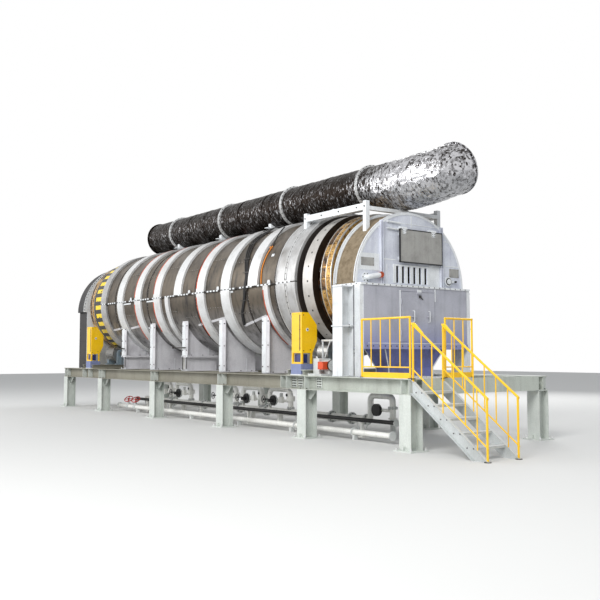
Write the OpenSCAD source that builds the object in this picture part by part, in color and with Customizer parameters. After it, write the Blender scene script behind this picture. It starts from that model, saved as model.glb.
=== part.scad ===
/* [Kiln line] */
// Height of the casing's underside above the deck beams
casing_lift = 450; // [430:5:480]
// Length of the heated casing that stands still round the drum
casing_l = 10600; // [10200:100:11200]
// Clear gap between the turning drum and the casing's lining
drum_gap = 80; // [60:5:100]
// Thickness of the casing wall, cladding and lining together
lining_t = 220; // [180:10:240]
// Outside diameter of the turning drum
drum_d = 2600; // [2500:10:2700]
// Thickness of the drum's plate
drum_t = 20; // [12:1:30]
// Radial height of the pads between the drum and the riding rings
pad_t = 110; // [90:5:130]
// Radial thickness of the riding rings
tyre_t = 150; // [120:10:165]
// Width of the riding ring at the discharge end
tyre_w = 360; // [320:10:380]
// Width of the striped riding ring at the feed end
far_tyre_w = 560; // [500:10:600]
// Gap between the casing's end and the riding ring
tyre_gap = 150; // [140:10:180]

/* [Casing hoops] */
// Distance from one bright hoop to the next
hoop_pitch = 1240; // [1220:10:1250]
// Reach of the hoops' spacing into the bolted end ring
hoop_start = 250; // [230:5:270]
// Width of a bright hoop
hoop_w = 400; // [340:10:420]
// How far the hoops stand proud of the cladding
hoop_t = 57; // [50:1:70]
// Width of the bolted ring at the casing's discharge end
end_ring_w = 720; // [680:10:740]
// Reach of the bolted flange along the casing's middle
split_flange = 62; // [56:1:75]
// Thickness of the bolted flange along the casing's middle
split_t = 24; // [16:2:30]

/* [Saddles] */
// Distance from one casing saddle to the next
saddle_pitch = 1950; // [1850:10:2000]
// Distance of the first saddle from the casing's discharge end
saddle_first = 1450; // [1400:10:1500]
// Width of a saddle along the kiln
saddle_w = 300; // [260:10:320]
// How far a saddle's outer flange stands inside the casing's side
saddle_side = 160; // [150:5:200]
// Distance of a saddle's inner edge from the kiln's middle plane
saddle_in = 450; // [400:10:500]
// Thickness of the saddle plates
saddle_t = 20; // [16:1:25]
// Height of the sliding feet under the movable saddles
foot_h = 380; // [340:10:400]

/* [Rollers] */
// Diameter of a support roller
roller_d = 500; // [460:10:520]
// Angle of the rollers from straight below the axis, degrees
roller_angle = 30; // [28:1:32]
// Diameter of a roller's shaft
shaft_d = 140; // [120:5:150]
// Width of a bearing pedestal along the shaft
bearing_w = 120; // [100:5:125]
// Height of the bed that carries the roller bearings
bed_h = 120; // [100:5:130]

/* [Discharge hood] */
// Width of the turning seal ring in front of the riding ring
seal_w = 340; // [300:10:360]
// Gap between the riding ring and the seal ring
seal_gap = 210; // [200:10:240]
// Radial height of the seal ring on the drum
seal_t = 180; // [150:5:200]
// Gap between the seal ring and the hood's rear plate
hood_gap = 240; // [200:10:280]
// Depth of the hood from its rear plate to its arched face
hood_depth = 640; // [600:10:700]
// How far the hood's arch stands outside the drum
hood_over = 270; // [250:5:300]
// Drop of the arch's centre below the kiln's axis
arch_drop = 170; // [150:5:180]
// Thickness of the hood's plates
plate_t = 12; // [8:1:16]
// Distance of the hopper's rim from the hood's side
hopper_in = 720; // [700:10:760]
// Taper of the hopper's side walls
hopper_taper = 210; // [180:10:240]
// Distance of the door's handles below its top edge
handle_drop = 490; // [450:10:520]
// Distance of the hood's legs behind its arched face
leg_back = 210; // [200:5:230]
// Height of the bolted joint in the hood's legs above the deck
leg_split = 1000; // [900:10:1100]
// How far the lower box stands in front of the arched face
box_proj = 180; // [160:5:200]
// How far the lower box stands inside the hood's arch on each side
box_in = 70; // [50:5:80]
// Height of the lower box's underside above the deck
box_lift = 550; // [500:10:600]
// Distance of a vertical rib from the arch's end, along the ledge
rib_in = 690; // [670:5:720]
// Width of the hood's grey relief flap
flap_w = 1240; // [1180:10:1240]
// Height of the hood's grey relief flap
flap_h = 690; // [640:10:720]
// Number of air slots below the flap
slot_n = 6; // [4:1:7]
// Distance from one air slot to the next
slot_pitch = 166; // [150:2:170]
// Width of an air slot
slot_w = 60; // [40:2:70]
// Height of an air slot
slot_h = 350; // [300:10:360]
// Width of the access door in the lower box
door_w = 960; // [900:10:1000]
// Height of the access door
door_h = 1030; // [900:10:1040]

/* [Steelwork] */
// Height of the deck beams' top above the ground
deck_z = 1300; // [1280:5:1310]
// How far the columns stand outside the hood's arch
frame_side = 390; // [380:5:420]
// Width and depth of a column, and width of a main beam
column_s = 300; // [280:5:310]
// Depth of a main beam
beam_d = 290; // [270:5:310]
// Thickness of the webs of the rolled sections
web_t = 10; // [8:1:14]
// Thickness of the flanges of the rolled sections
flange_t = 15; // [12:1:18]
// Side of a square base plate
base_s = 450; // [430:10:480]
// Thickness of a base plate
base_t = 25; // [20:1:40]
// Distance from one anchor hole to the next
anchor_pitch = 370; // [360:5:380]
// Diameter of an anchor hole
anchor_d = 26; // [22:1:30]
// Depth of the two stringers that carry the kiln
stringer_d = 150; // [140:5:160]
// Distance of a stringer from the kiln's middle plane
stringer_y = 930; // [900:10:950]
// Distance between the last two column rows, beside the hood
bay_hood = 3100; // [3000:50:3200]
// Distance between the column rows beside the riding ring
bay_tyre = 3310; // [3200:50:3400]
// Distance between the column rows under the casing
bay_casing = 3600; // [3500:50:3700]

/* [Platform and stair] */
// Gap between the hood's lower box and the platform's first post
platform_gap = 430; // [380:10:480]
// Length of the railed platform
platform_l = 1340; // [1300:20:1500]
// Width of the platform
platform_w = 1690; // [1600:10:1800]
// Height of the platform's handrail
rail_h = 1100; // [1000:20:1200]
// Diameter of the handrail tube
rail_d = 42; // [34:1:48]
// Diameter of the upright bars
bar_d = 22; // [18:1:26]
// Horizontal run of the stair
stair_run = 1760; // [1700:20:1900]
// Width of the stair
stair_w = 830; // [780:10:860]
// Number of treads
tread_n = 5; // [4:1:6]
// Depth of a tread
tread_d = 270; // [240:5:280]

/* [Overhead duct] */
// Clear gap between the casing's hoops and the duct
duct_gap = 33; // [30:1:60]
// Diameter of the straight duct over its jacket
duct_d = 920; // [880:10:930]
// Thickness of the duct's jacket and wall
duct_t = 60; // [40:5:80]
// Diameter of the elbow over its jacket
elbow_d = 1080; // [1060:10:1120]
// Bend radius of the elbow on its centre line
elbow_r = 650; // [600:10:700]
// Tilt of the elbow's plane, degrees, so that its outlet climbs away to the rear
elbow_tilt = 22; // [10:1:40]
// Straight length before the elbow's bend
elbow_lead = 400; // [380:10:450]
// Straight length after the elbow's bend
elbow_tail = 300; // [200:10:400]
// Reach of the duct past the casing's discharge end, up to the elbow's bend
duct_reach = 1790; // [1770:10:1830]
// Length of the widening piece before the elbow
reducer_l = 700; // [650:10:740]
// Drop of the elbow's axis below the straight duct's axis
duct_drop = 100; // [60:5:110]
// Length of the duct short of the casing's feed end
duct_back = 980; // [900:20:1100]
// How far the duct frame's posts stand inside the hood's arch
post_in = 520; // [480:10:560]

/* [Nip guards] */
// Width of a nip guard along the kiln
guard_w = 360; // [340:10:380]
// How far a guard's outer face stands inside the frame's edge
guard_edge = 110; // [80:5:130]
// Depth of a guard towards the riding ring
guard_dy = 410; // [380:5:420]
// Height of a guard's housing
guard_h = 870; // [820:10:900]
// Height of a guard's housing above the deck
guard_lift = 470; // [460:5:500]
// Thickness of the guard's sheet
guard_t = 8; // [5:1:10]

/* [Gas pipes] */
// Diameter of the gas header under the deck
header_d = 168; // [140:2:180]
// Diameter of the gas loops
loop_d = 90; // [76:2:100]
// Height of the header's axis above the ground
header_z = 330; // [300:10:360]
// Height of the loops' top above the ground
loop_z = 880; // [820:10:940]
// Distance of the header's end from the casing's feed end
header_back = 900; // [850:10:950]
// Distance of the header from the kiln's middle plane
header_y = 400; // [360:10:410]

/* [Hidden] */
$fn = 96;

// Clearances: pieces that touch on a curve, pieces that turn, and cuts that run past a face
fit = 0.3;
run = 8;
past = 20;
shaft_fit = 0.05;
nip = 0.4;

// Radii that several pieces share
drum_r = drum_d / 2;
tyre_in = drum_r + pad_t;
tyre_r = tyre_in + tyre_t;
seal_r = drum_r + seal_t;
casing_r = drum_r + drum_gap + lining_t;
hoop_r = casing_r + hoop_t;
axis_z = deck_z + casing_lift + casing_r;
hood_r = drum_r + hood_over;
box_w = 2 * (hood_r - box_in);
frame_w = 2 * (hood_r + frame_side);
saddle_out = casing_r - saddle_side;
guard_out = frame_w / 2 - guard_edge;
roller_r = roller_d / 2;
shaft_r = shaft_d / 2;
duct_r = duct_d / 2;
bend_r = elbow_d / 2;

// Reach of the object on both sides of the casing's discharge end, and the shift that centres it
seal_run = tyre_gap + tyre_w + seal_gap + seal_w + hood_gap;
hood_reach = seal_run + hood_depth;
near_reach = hood_reach + box_proj + platform_gap + platform_l + stair_run;
frame_over = 160;
feed_depth = 640;
feed_run = tyre_gap + far_tyre_w + seal_gap + seal_w + hood_gap + feed_depth;
far_frame = casing_l + feed_run + frame_over;
far_reach = far_frame + (base_s - column_s) / 2;
shift = (far_reach - near_reach) / 2;

// Stations along the kiln, from the feed end to the discharge end
casing_x1 = shift;
casing_x0 = casing_x1 - casing_l;
tyre_x0 = casing_x1 + tyre_gap;
tyre_x1 = tyre_x0 + tyre_w;
seal_x0 = tyre_x1 + seal_gap;
seal_x1 = seal_x0 + seal_w;
hood_x0 = seal_x1 + hood_gap;
hood_x1 = hood_x0 + hood_depth;
box_x1 = hood_x1 + box_proj;
platform_x0 = box_x1 + platform_gap;
platform_x1 = platform_x0 + platform_l;
far_tyre_x1 = casing_x0 - tyre_gap;
far_tyre_x0 = far_tyre_x1 - far_tyre_w;
far_seal_x1 = far_tyre_x0 - seal_gap;
far_seal_x0 = far_seal_x1 - seal_w;
feed_x1 = far_seal_x0 - hood_gap;
feed_x0 = feed_x1 - feed_depth;
frame_x0 = feed_x0 - frame_over;
drum_x0 = feed_x1 - 150;
drum_x1 = hood_x0 + 150;
drum_weld = floor((drum_x1 - drum_x0) / 3);

// Stations and levels of the steelwork
row_y = frame_w / 2 - column_s / 2;
row_end = platform_x1 - column_s / 2;
row_3 = row_end - bay_hood - bay_tyre;
rows = [frame_x0 + column_s / 2, row_3 - 2 * bay_casing, row_3 - bay_casing, row_3,
    row_end - bay_hood, row_end];
beam_z0 = deck_z - beam_d;
cross_z1 = deck_z - stringer_d;
deck_t = 6;
walk_x0 = box_x1 + 70;
walk_y0 = -frame_w / 2;
walk_y1 = walk_y0 + platform_w;

// Support rollers sit below the riding rings, symmetric about the middle plane
roller_reach = tyre_r + nip + roller_r;
roller_y = roller_reach * sin(roller_angle);
roller_z = axis_z - roller_reach * cos(roller_angle);
roller_over = 10;
bearing_gap = 15;
tyre_c = (tyre_x0 + tyre_x1) / 2;
far_tyre_c = (far_tyre_x0 + far_tyre_x1) / 2;
bed_z = deck_z + bed_h;

// Levels of the discharge hood and the duct
arch_z = axis_z - arch_drop;
ledge_t = 40;
box_z0 = deck_z + box_lift;
box_z1 = arch_z - ledge_t;
hood_hole = drum_r + run;
duct_z = axis_z + hoop_r + duct_gap + duct_r;
elbow_z = duct_z - duct_drop;
post_s = 100;
post_y = hood_r - post_in;
post_x = [casing_x1 - end_ring_w / 2, hood_x1 - 250];
beam_long = 140;
beam_cross = 80;
frame_z0 = arch_z + hood_r + run;
duct_x1 = casing_x1 + duct_reach;
duct_x0 = casing_x0 + duct_back;
duct_neck = duct_x1 - elbow_lead;
hopper_top = hood_r - hopper_in;
hopper_low = hopper_top - hopper_taper;

// Sections and profiles
module i_profile(d, b) {
    polygon([[-b / 2, -d / 2], [b / 2, -d / 2], [b / 2, flange_t - d / 2],
        [web_t / 2, flange_t - d / 2], [web_t / 2, d / 2 - flange_t], [b / 2, d / 2 - flange_t],
        [b / 2, d / 2], [-b / 2, d / 2], [-b / 2, d / 2 - flange_t],
        [-web_t / 2, d / 2 - flange_t], [-web_t / 2, flange_t - d / 2],
        [-b / 2, flange_t - d / 2]]);
}

module i_beam_x(x0, x1, y, z1, d, b) {
    translate([x0, y, z1 - d / 2]) rotate([90, 0, 90]) linear_extrude(x1 - x0) i_profile(d, b);
}

module i_beam_y(x, y0, y1, z1, d, b) {
    translate([x, y1, z1 - d / 2]) rotate([90, 0, 0]) linear_extrude(y1 - y0) i_profile(d, b);
}

module block(x0, x1, y0, y1, z0, z1) {
    translate([x0, y0, z0]) cube([x1 - x0, y1 - y0, z1 - z0]);
}

module bar_x(x0, x1, r, y = 0, z = axis_z) {
    translate([x0, y, z]) rotate([0, 90, 0]) cylinder(h = x1 - x0, r = r);
}

module bar_z(x, y, z0, z1, r) {
    translate([x, y, z0]) cylinder(h = z1 - z0, r = r);
}

module tube_x(x0, x1, r_out, r_in, y = 0, z = axis_z) {
    difference() {
        bar_x(x0, x1, r_out, y, z);
        bar_x(x0 - past, x1 + past, r_in, y, z);
    }
}

module yz_plate(x0, x1, points) {
    translate([x0, 0, 0]) rotate([90, 0, 90]) linear_extrude(x1 - x0) polygon(points);
}

module xz_plate(y0, y1, points) {
    translate([0, y1, 0]) rotate([90, 0, 0]) linear_extrude(y1 - y0) polygon(points);
}

module both_sides() {
    children();
    mirror([0, 1, 0]) children();
}

// Half of a ring about the kiln's axis, above (+1) or below (-1) the bolted flange
module half_ring(x0, x1, r_out, r_in, side, cut) {
    intersection() {
        tube_x(x0, x1, r_out, r_in);
        translate([x0, -r_out - past, side > 0 ? axis_z + cut : axis_z - cut - r_out - past])
            cube([x1 - x0, 2 * (r_out + past), r_out + past]);
    }
}

// Steel frame
module main_beams() {
    color("lightsteelblue") both_sides()
        i_beam_x(frame_x0, platform_x1, row_y, deck_z, beam_d, column_s);
}

module stringers() {
    color("lightsteelblue") both_sides()
        i_beam_x(frame_x0, platform_x1 - plate_t, stringer_y, deck_z, stringer_d, stringer_d);
}

module cross_beams() {
    cross_d = cross_z1 - beam_z0;
    tongue_z0 = beam_z0 + flange_t;
    reach = row_y - web_t / 2;
    inner = row_y - column_s / 2;
    color("lightsteelblue") {
        for (x = concat(rows, [walk_x0 + cross_d]))
            difference() {
                i_beam_y(x, -reach, reach, cross_z1, cross_d, cross_d);
                both_sides() block(x - cross_d, x + cross_d, inner, reach + past,
                    beam_z0 - past, tongue_z0);
            }
        block(platform_x1 - plate_t, platform_x1, -inner, inner, beam_z0, deck_z);
        i_beam_x(walk_x0, platform_x1 - plate_t, walk_y1 - web_t, deck_z, stringer_d, 100);
    }
}

module columns() {
    knee = 200;
    top = deck_z - beam_d;
    color("honeydew") both_sides() for (x = rows) {
        translate([x, row_y, base_t]) linear_extrude(top - base_t) rotate(0)
            i_profile(column_s, column_s);
        if (x < row_end)
            xz_plate(row_y - plate_t / 2, row_y + plate_t / 2,
                [[x + web_t / 2, top], [x + column_s / 2 + knee, top],
                 [x + column_s / 2, top - knee], [x + web_t / 2, top - knee]]);
    }
}

module base_plates() {
    color("honeydew") both_sides() for (x = rows)
        difference() {
            block(x - base_s / 2, x + base_s / 2, row_y - base_s / 2, row_y + base_s / 2,
                0, base_t);
            for (u = [-1, 1], v = [-1, 1])
                bar_z(x + u * anchor_pitch / 2, row_y + v * anchor_pitch / 2, -past,
                    base_t + past, anchor_d / 2);
        }
}

module beam_plates() {
    splice_l = 160;
    splice_t = 12;
    face = row_y + web_t / 2;
    color("lightsteelblue") both_sides() {
        for (u = [-1, 1])
            block(tyre_c + u * 110 - splice_l / 2, tyre_c + u * 110 + splice_l / 2, face,
                face + splice_t, beam_z0 + flange_t + 20, deck_z - flange_t - 20);
        for (x = [rows[4] - 750, rows[4] - 550, far_tyre_c - 240, far_tyre_c + 240])
            block(x - plate_t / 2, x + plate_t / 2, face, row_y + column_s / 2 - 5,
                beam_z0 + flange_t, deck_z - flange_t);
    }
}

// Casing that stands still, in bolted halves
module casing_lower() {
    color("dimgray") half_ring(casing_x0, casing_x1, casing_r, casing_r - lining_t, -1, 0);
}

module casing_upper() {
    color("dimgray") half_ring(casing_x0, casing_x1, casing_r, casing_r - lining_t, 1, 0);
}

hoop_n = floor((casing_l - 2 * end_ring_w + hoop_start - hoop_w / 2) / hoop_pitch);
function hoop_x(k) = casing_x1 - end_ring_w + hoop_start - hoop_pitch * k;

module hoops_upper() {
    color("gainsboro") for (k = [1 : hoop_n])
        half_ring(hoop_x(k) - hoop_w / 2, hoop_x(k) + hoop_w / 2, hoop_r, casing_r + fit, 1,
            split_t / 2);
}

// The lower halves of the first and fourth hoop are narrow and stand beside the upper ones
function lower_x(k) = hoop_x(k) + (k == 1 ? 540 : k == 4 ? -640 : 0);
function lower_w(k) = k == 1 || k == 4 ? hoop_w / 2 : hoop_w;

module hoops_lower() {
    color("gainsboro") for (k = [1 : hoop_n])
        half_ring(lower_x(k) - lower_w(k) / 2, lower_x(k) + lower_w(k) / 2, hoop_r,
            casing_r + fit, -1, split_t / 2);
}

module end_rings() {
    color("whitesmoke") for (side = [-1, 1]) {
        half_ring(casing_x1 - end_ring_w, casing_x1, hoop_r, casing_r + fit, side, split_t / 2);
        half_ring(casing_x0, casing_x0 + hoop_w, hoop_r, casing_r + fit, side, split_t / 2);
    }
}

module end_walls() {
    color("gray") {
        tube_x(casing_x1, casing_x1 + plate_t, casing_r, drum_r + run);
        tube_x(casing_x0 - plate_t, casing_x0, casing_r, drum_r + run);
    }
}

module split_flanges() {
    color("silver") both_sides() difference() {
        block(casing_x0, casing_x1, casing_r - split_flange, casing_r + split_flange,
            axis_z - split_t / 2, axis_z + split_t / 2);
        bar_x(casing_x0 - past, casing_x1 + past, casing_r + fit);
    }
}

// Saddles: the first, third and fifth are fixed, the two between them slide on feet
saddle_n = 5;
function saddle_x(k) = casing_x1 - saddle_first - saddle_pitch * k;
function slides(k) = k == 2 || k == 4;

module saddle_web(k) {
    z0 = slides(k) ? deck_z + foot_h + saddle_t : deck_z;
    top = axis_z - sqrt(pow(casing_r, 2) - pow(saddle_out, 2));
    x = saddle_x(k);
    difference() {
        union() {
            block(x - saddle_t / 2, x + saddle_t / 2, saddle_in, saddle_out, z0, top);
            block(x - saddle_w / 2, x + saddle_w / 2, saddle_out - saddle_t, saddle_out, z0, top);
            block(x - saddle_w / 2, x + saddle_w / 2, saddle_in, saddle_out, z0, z0 + saddle_t);
        }
        bar_x(x - saddle_w, x + saddle_w, casing_r + saddle_lift(k), $fn = 360);
    }
}

// A saddle under a hoop carries the hoop, and one between hoops carries the cladding
function under_hoop(x) = len([for (k = [1 : hoop_n]) if (abs(lower_x(k) - x) <
    (lower_w(k) + saddle_w) / 2 + run) k]) > 0 || x + saddle_w / 2 + run > casing_x1 - end_ring_w;
function saddle_lift(k) = under_hoop(saddle_x(k)) ? hoop_t + fit : fit;

module saddles() {
    color("lightgray") both_sides() for (k = [0 : saddle_n - 1]) saddle_web(k);
}

module saddle_feet() {
    color("lightgray") both_sides() for (k = [0 : saddle_n - 1]) if (slides(k)) {
        x = saddle_x(k);
        translate([x, saddle_out, deck_z + foot_h / 2]) rotate([90, 0, 0])
            linear_extrude(saddle_out - saddle_in) i_profile(foot_h, saddle_w);
        block(x - saddle_w / 2, x + saddle_w / 2, saddle_in, saddle_out, deck_z + foot_h,
            deck_z + foot_h + saddle_t);
    }
}

// Turning drum
// The drum's shell is welded from three rolled lengths
module drum_length(x0, x1) {
    color("saddlebrown") tube_x(x0, x1, drum_r, drum_r - drum_t);
}

module drum_shell_feed() {
    drum_length(drum_x0, drum_x0 + drum_weld);
}

module drum_shell_middle() {
    drum_length(drum_x0 + drum_weld, drum_x0 + 2 * drum_weld);
}

module drum_shell_discharge() {
    drum_length(drum_x0 + 2 * drum_weld, drum_x1);
}

module tyre_near() {
    color("white") tube_x(tyre_x0, tyre_x1, tyre_r, tyre_in);
}

module tyre_far() {
    color("black") tube_x(far_tyre_x0, far_tyre_x1, tyre_r, tyre_in);
}

module tyre_pads() {
    color("peru") for (t = [[tyre_x0, tyre_x1], [far_tyre_x0, far_tyre_x1]]) {
        tube_x(t[0] + 30, t[1] - 30, tyre_in - fit, drum_r + fit);
    }
}

module seal_rings() {
    color("tan") {
        tube_x(seal_x0, seal_x1, seal_r, drum_r + fit);
        tube_x(far_seal_x0, far_seal_x1, seal_r, drum_r + fit);
    }
}

// Support rollers, one body each
module roller(tyre_mid, tyre_width, side) {
    half = tyre_width / 2 + roller_over;
    reach = half + bearing_gap + bearing_w + 30;
    y = side * roller_y;
    bar_x(tyre_mid - half, tyre_mid + half, roller_r, y, roller_z);
    bar_x(tyre_mid - reach, tyre_mid + reach, shaft_r, y, roller_z);
}

module roller_near_front() {
    color("silver") roller(tyre_c, tyre_w, -1);
}

module roller_near_rear() {
    color("silver") roller(tyre_c, tyre_w, 1);
}

module roller_far_front() {
    color("silver") roller(far_tyre_c, far_tyre_w, -1);
}

module roller_far_rear() {
    color("silver") roller(far_tyre_c, far_tyre_w, 1);
}

module pedestal(x0, y) {
    cap_r = shaft_r + 60;
    foot = 2 * cap_r + 60;
    difference() {
        union() {
            bar_x(x0, x0 + bearing_w, cap_r, y, roller_z);
            block(x0, x0 + bearing_w, y - cap_r, y + cap_r, bed_z, roller_z);
            block(x0, x0 + bearing_w, y - foot / 2 - 30, y + foot / 2 + 30, bed_z, bed_z + 40);
        }
        bar_x(x0 - past, x0 + bearing_w + past, shaft_r + shaft_fit, y, roller_z);
    }
}

module bearing_blocks() {
    color("steelblue") for (t = [[tyre_c, tyre_w], [far_tyre_c, far_tyre_w]], s = [-1, 1]) {
        half = t[1] / 2 + roller_over + bearing_gap;
        pedestal(t[0] - half - bearing_w, s * roller_y);
        pedestal(t[0] + half, s * roller_y);
    }
}

module roller_beds() {
    reach = row_y + column_s / 4;
    color("lightsteelblue") for (t = [[tyre_c, tyre_w], [far_tyre_c, far_tyre_w]], u = [-1, 1]) {
        x = t[0] + u * (t[1] / 2 + roller_over + bearing_gap + bearing_w / 2);
        i_beam_y(x, -reach, reach, bed_z, bed_h, bearing_w + 20);
    }
}

// Yellow nip guards on the walkway side, and their stands
guard_leg = 230;
foot_z = deck_z + guard_lift - guard_leg;

module guard_outline(inset) {
    z0 = deck_z + guard_lift;
    low = z0 + guard_h * 0.3;
    high = z0 + guard_h * 0.69;
    y0 = -guard_out;
    y1 = -guard_out + guard_dy;
    polygon([[y0 + inset, z0 + inset], [y0 + guard_dy * 0.7, z0 + inset], [y1, low + inset],
        [y1, high - inset], [y0 + guard_dy * 0.46, z0 + guard_h - inset],
        [y0 + inset, z0 + guard_h - inset]]);
}

module nip_guards() {
    leg = 40;
    slot_x = 50;
    z0 = deck_z + guard_lift;
    color("gold") for (c = [tyre_c, far_tyre_c]) {
        difference() {
            translate([c - guard_w / 2, 0, 0]) rotate([90, 0, 90])
                linear_extrude(guard_w) guard_outline(0);
            translate([c - guard_w / 2 + guard_t, guard_t, 0]) rotate([90, 0, 90])
                linear_extrude(guard_w - 2 * guard_t) guard_outline(guard_t);
            block(c + guard_w / 2 - slot_x - 30, c + guard_w / 2 - slot_x, -guard_out - past,
                guard_t - guard_out + 1, z0 + 60, z0 + guard_h - 60);
        }
        for (u = [-1, 1], v = [0, 1]) {
            x = c + u * (guard_w - leg) / 2;
            y = -guard_out + leg / 2 + v * (guard_dy * 0.7 - leg);
            block(x - leg / 2, x + leg / 2, y - leg / 2, y + leg / 2, foot_z, z0 + guard_t);
        }
        block(c - guard_w / 2, c + guard_w / 2, -guard_out, -guard_out + leg, foot_z,
            foot_z + leg);
    }
}

module guard_stands() {
    color("slategray") for (c = [tyre_c, far_tyre_c]) {
        block(c - guard_w / 2, c + guard_w / 2, -guard_out - 20,
            -guard_out + guard_dy * 0.7 + 20, deck_z, foot_z);
    }
}

// Geared motor beside the discharge rollers
motor_x = 600;
module drive_motor() {
    x0 = tyre_c + motor_x - 250;
    x1 = tyre_c + motor_x + 210;
    y = -guard_out + 330;
    z = deck_z + 210;
    color("whitesmoke") {
        bar_x(x0 + 200, x1, 110, y, z);
        block(x0, x0 + 200, y - 150, y + 150, deck_z + 40, z + 150);
        block(x0, x1, y - 300, y + 150, deck_z, deck_z + 40);
        block(x0 + 240, x1 - 40, y - 50, y + 90, deck_z + 40, z - 40);
    }
}

module motor_box() {
    x0 = tyre_c + motor_x - 10;
    y = -guard_out + 330;
    color("orangered") difference() {
        block(x0, x0 + 180, y - 220, y - 60, deck_z + 130, deck_z + 290);
        bar_x(x0 - past, x0 + 180 + past, 110 + fit, y, deck_z + 210);
    }
}

// Discharge hood
// Upper half disc or ring of the hood's arch, from one station to the next
module arch_ring(x0, x1, r_out, r_in) {
    intersection() {
        difference() {
            bar_x(x0, x1, r_out, 0, arch_z);
            if (r_in > 0) bar_x(x0 - past, x1 + past, r_in, 0, arch_z);
        }
        block(x0, x1, -r_out - past, r_out + past, arch_z, arch_z + r_out + past);
    }
}

module hood_rear_plate() {
    rim = 60;
    color("white") difference() {
        union() {
            arch_ring(hood_x0, hood_x0 + plate_t, hood_r + rim, 0);
            block(hood_x0, hood_x0 + plate_t, -box_w / 2, box_w / 2, box_z0, arch_z);
        }
        bar_x(hood_x0 - past, hood_x0 + plate_t + past, hood_hole);
    }
}

module hood_collar() {
    color("peru") arch_ring(hood_x0 + plate_t, hood_x1 - plate_t, hood_r, hood_r - plate_t);
}

module hood_face() {
    first = -(slot_n - 1) / 2 * slot_pitch;
    slot_z = arch_z + 60;
    color("lavender") difference() {
        arch_ring(hood_x1 - plate_t, hood_x1, hood_r, 0);
        for (k = [0 : slot_n - 1])
            block(hood_x1 - past, hood_x1 + past, first + k * slot_pitch - slot_w / 2,
                first + k * slot_pitch + slot_w / 2, slot_z, slot_z + slot_h);
    }
}

rib_d = 60;
rib_y = hood_r - rib_in;
module hood_ribs() {
    y = rib_y;
    top = arch_z + sqrt(pow(hood_r, 2) - pow(y, 2)) + 40;
    color("lavender") both_sides() difference() {
        block(hood_x1, hood_x1 + rib_d, y - rib_d / 2, y + rib_d / 2, arch_z, top);
        block(hood_x1 + 8, hood_x1 + rib_d + past, y - rib_d / 2 + 8, y + rib_d / 2 - 8,
            arch_z - past, top + past);
    }
}

flap_off = 60;
flap_y1 = rib_y - rib_d / 2 - 10;
flap_z0 = arch_z + 60 + slot_h + 90;
module hood_flap() {
    color("darkgray") block(hood_x1 + flap_off, hood_x1 + flap_off + 30, flap_y1 - flap_w,
        flap_y1, flap_z0, flap_z0 + flap_h);
}

module flap_brackets() {
    color("whitesmoke") for (y = [flap_y1 - flap_w + 120, flap_y1 - 260]) {
        block(hood_x1, hood_x1 + flap_off, y - 90, y + 90, flap_z0 + flap_h - 120,
            flap_z0 + flap_h + 60);
        block(hood_x1, hood_x1 + flap_off, y - 90, y + 90, flap_z0 + 40, flap_z0 + 120);
    }
}

module hood_ledge() {
    color("white") difference() {
        block(hood_x0 + plate_t, box_x1 + 20, -hood_r - 20, hood_r + 20, box_z1, arch_z);
        block(hood_x0 + plate_t - past, hood_x1 - 60, 60 - box_w / 2, box_w / 2 - 60,
            box_z1 - past, arch_z + past);
    }
}

module hood_box() {
    y = box_w / 2;
    flange = 110;
    color("lightsteelblue") difference() {
        union() {
            block(hood_x0 + plate_t, box_x1, -y, y, box_z0, box_z1);
            block(hood_x0 + plate_t, box_x1 + 30, -y, y, box_z0, box_z0 + flange);
        }
        block(hood_x0 + plate_t - past, box_x1 - plate_t, plate_t - y, y - plate_t,
            box_z0 + plate_t, box_z1 + past);
        block(hood_x0 + 100 + plate_t, box_x1 - 100 - plate_t, plate_t - hopper_top,
            hopper_top - plate_t, box_z0 - past, box_z0 + plate_t + past);
    }
}

module access_door() {
    z1 = box_z1 - 100;
    color("lightsteelblue") {
        block(box_x1, box_x1 + plate_t, -door_w / 2, door_w / 2, z1 - door_h, z1);
        for (y = [-door_w * 0.16, door_w * 0.31])
            difference() {
                block(box_x1 + plate_t, box_x1 + plate_t + 50, y - 60, y + 60, z1 - handle_drop - 30,
                    z1 - handle_drop);
                block(box_x1 + plate_t - past, box_x1 + plate_t + 36, y - 46, y + 46,
                    z1 - handle_drop - 30 - past, z1 - handle_drop + past);
            }
        block(box_x1 + plate_t, box_x1 + plate_t + 30, -50, 50, z1 - 40, z1 - 5);
    }
}

// Hopper under the hood, four tapering walls, then a square neck through the deck
neck_z = deck_z - 330;
neck_in = 220;
module hopper_solid(inset) {
    x0 = hood_x0 + 100;
    x1 = box_x1 - 100;
    z1 = box_z0;
    z2 = deck_z + 160;
    intersection() {
        yz_plate(x0 + inset, x1 - inset, [[inset - hopper_top, z1 + (inset > 0 ? past : 0)],
            [inset - hopper_top, z1], [inset - hopper_low, z2],
            [inset - hopper_low, neck_z - (inset > 0 ? past : 0)],
            [hopper_low - inset, neck_z - (inset > 0 ? past : 0)], [hopper_low - inset, z2],
            [hopper_top - inset, z1], [hopper_top - inset, z1 + (inset > 0 ? past : 0)]]);
        xz_plate(-hopper_top - past, hopper_top + past, [[x0 + inset, z1 + past],
            [x0 + inset, z1], [x0 + 120 + inset, z2], [x0 + 120 + inset, neck_z - past],
            [x1 - 120 - inset, neck_z - past], [x1 - 120 - inset, z2], [x1 - inset, z1],
            [x1 - inset, z1 + past]]);
    }
}

module hood_hopper() {
    rim = 60;
    color("lightsteelblue") {
        difference() {
            union() {
                hopper_solid(0);
                block(hood_x0 + neck_in - rim, box_x1 - neck_in + rim, -hopper_low - rim,
                    hopper_low + rim, neck_z, neck_z + plate_t);
            }
            hopper_solid(plate_t);
        }
    }
}

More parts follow.
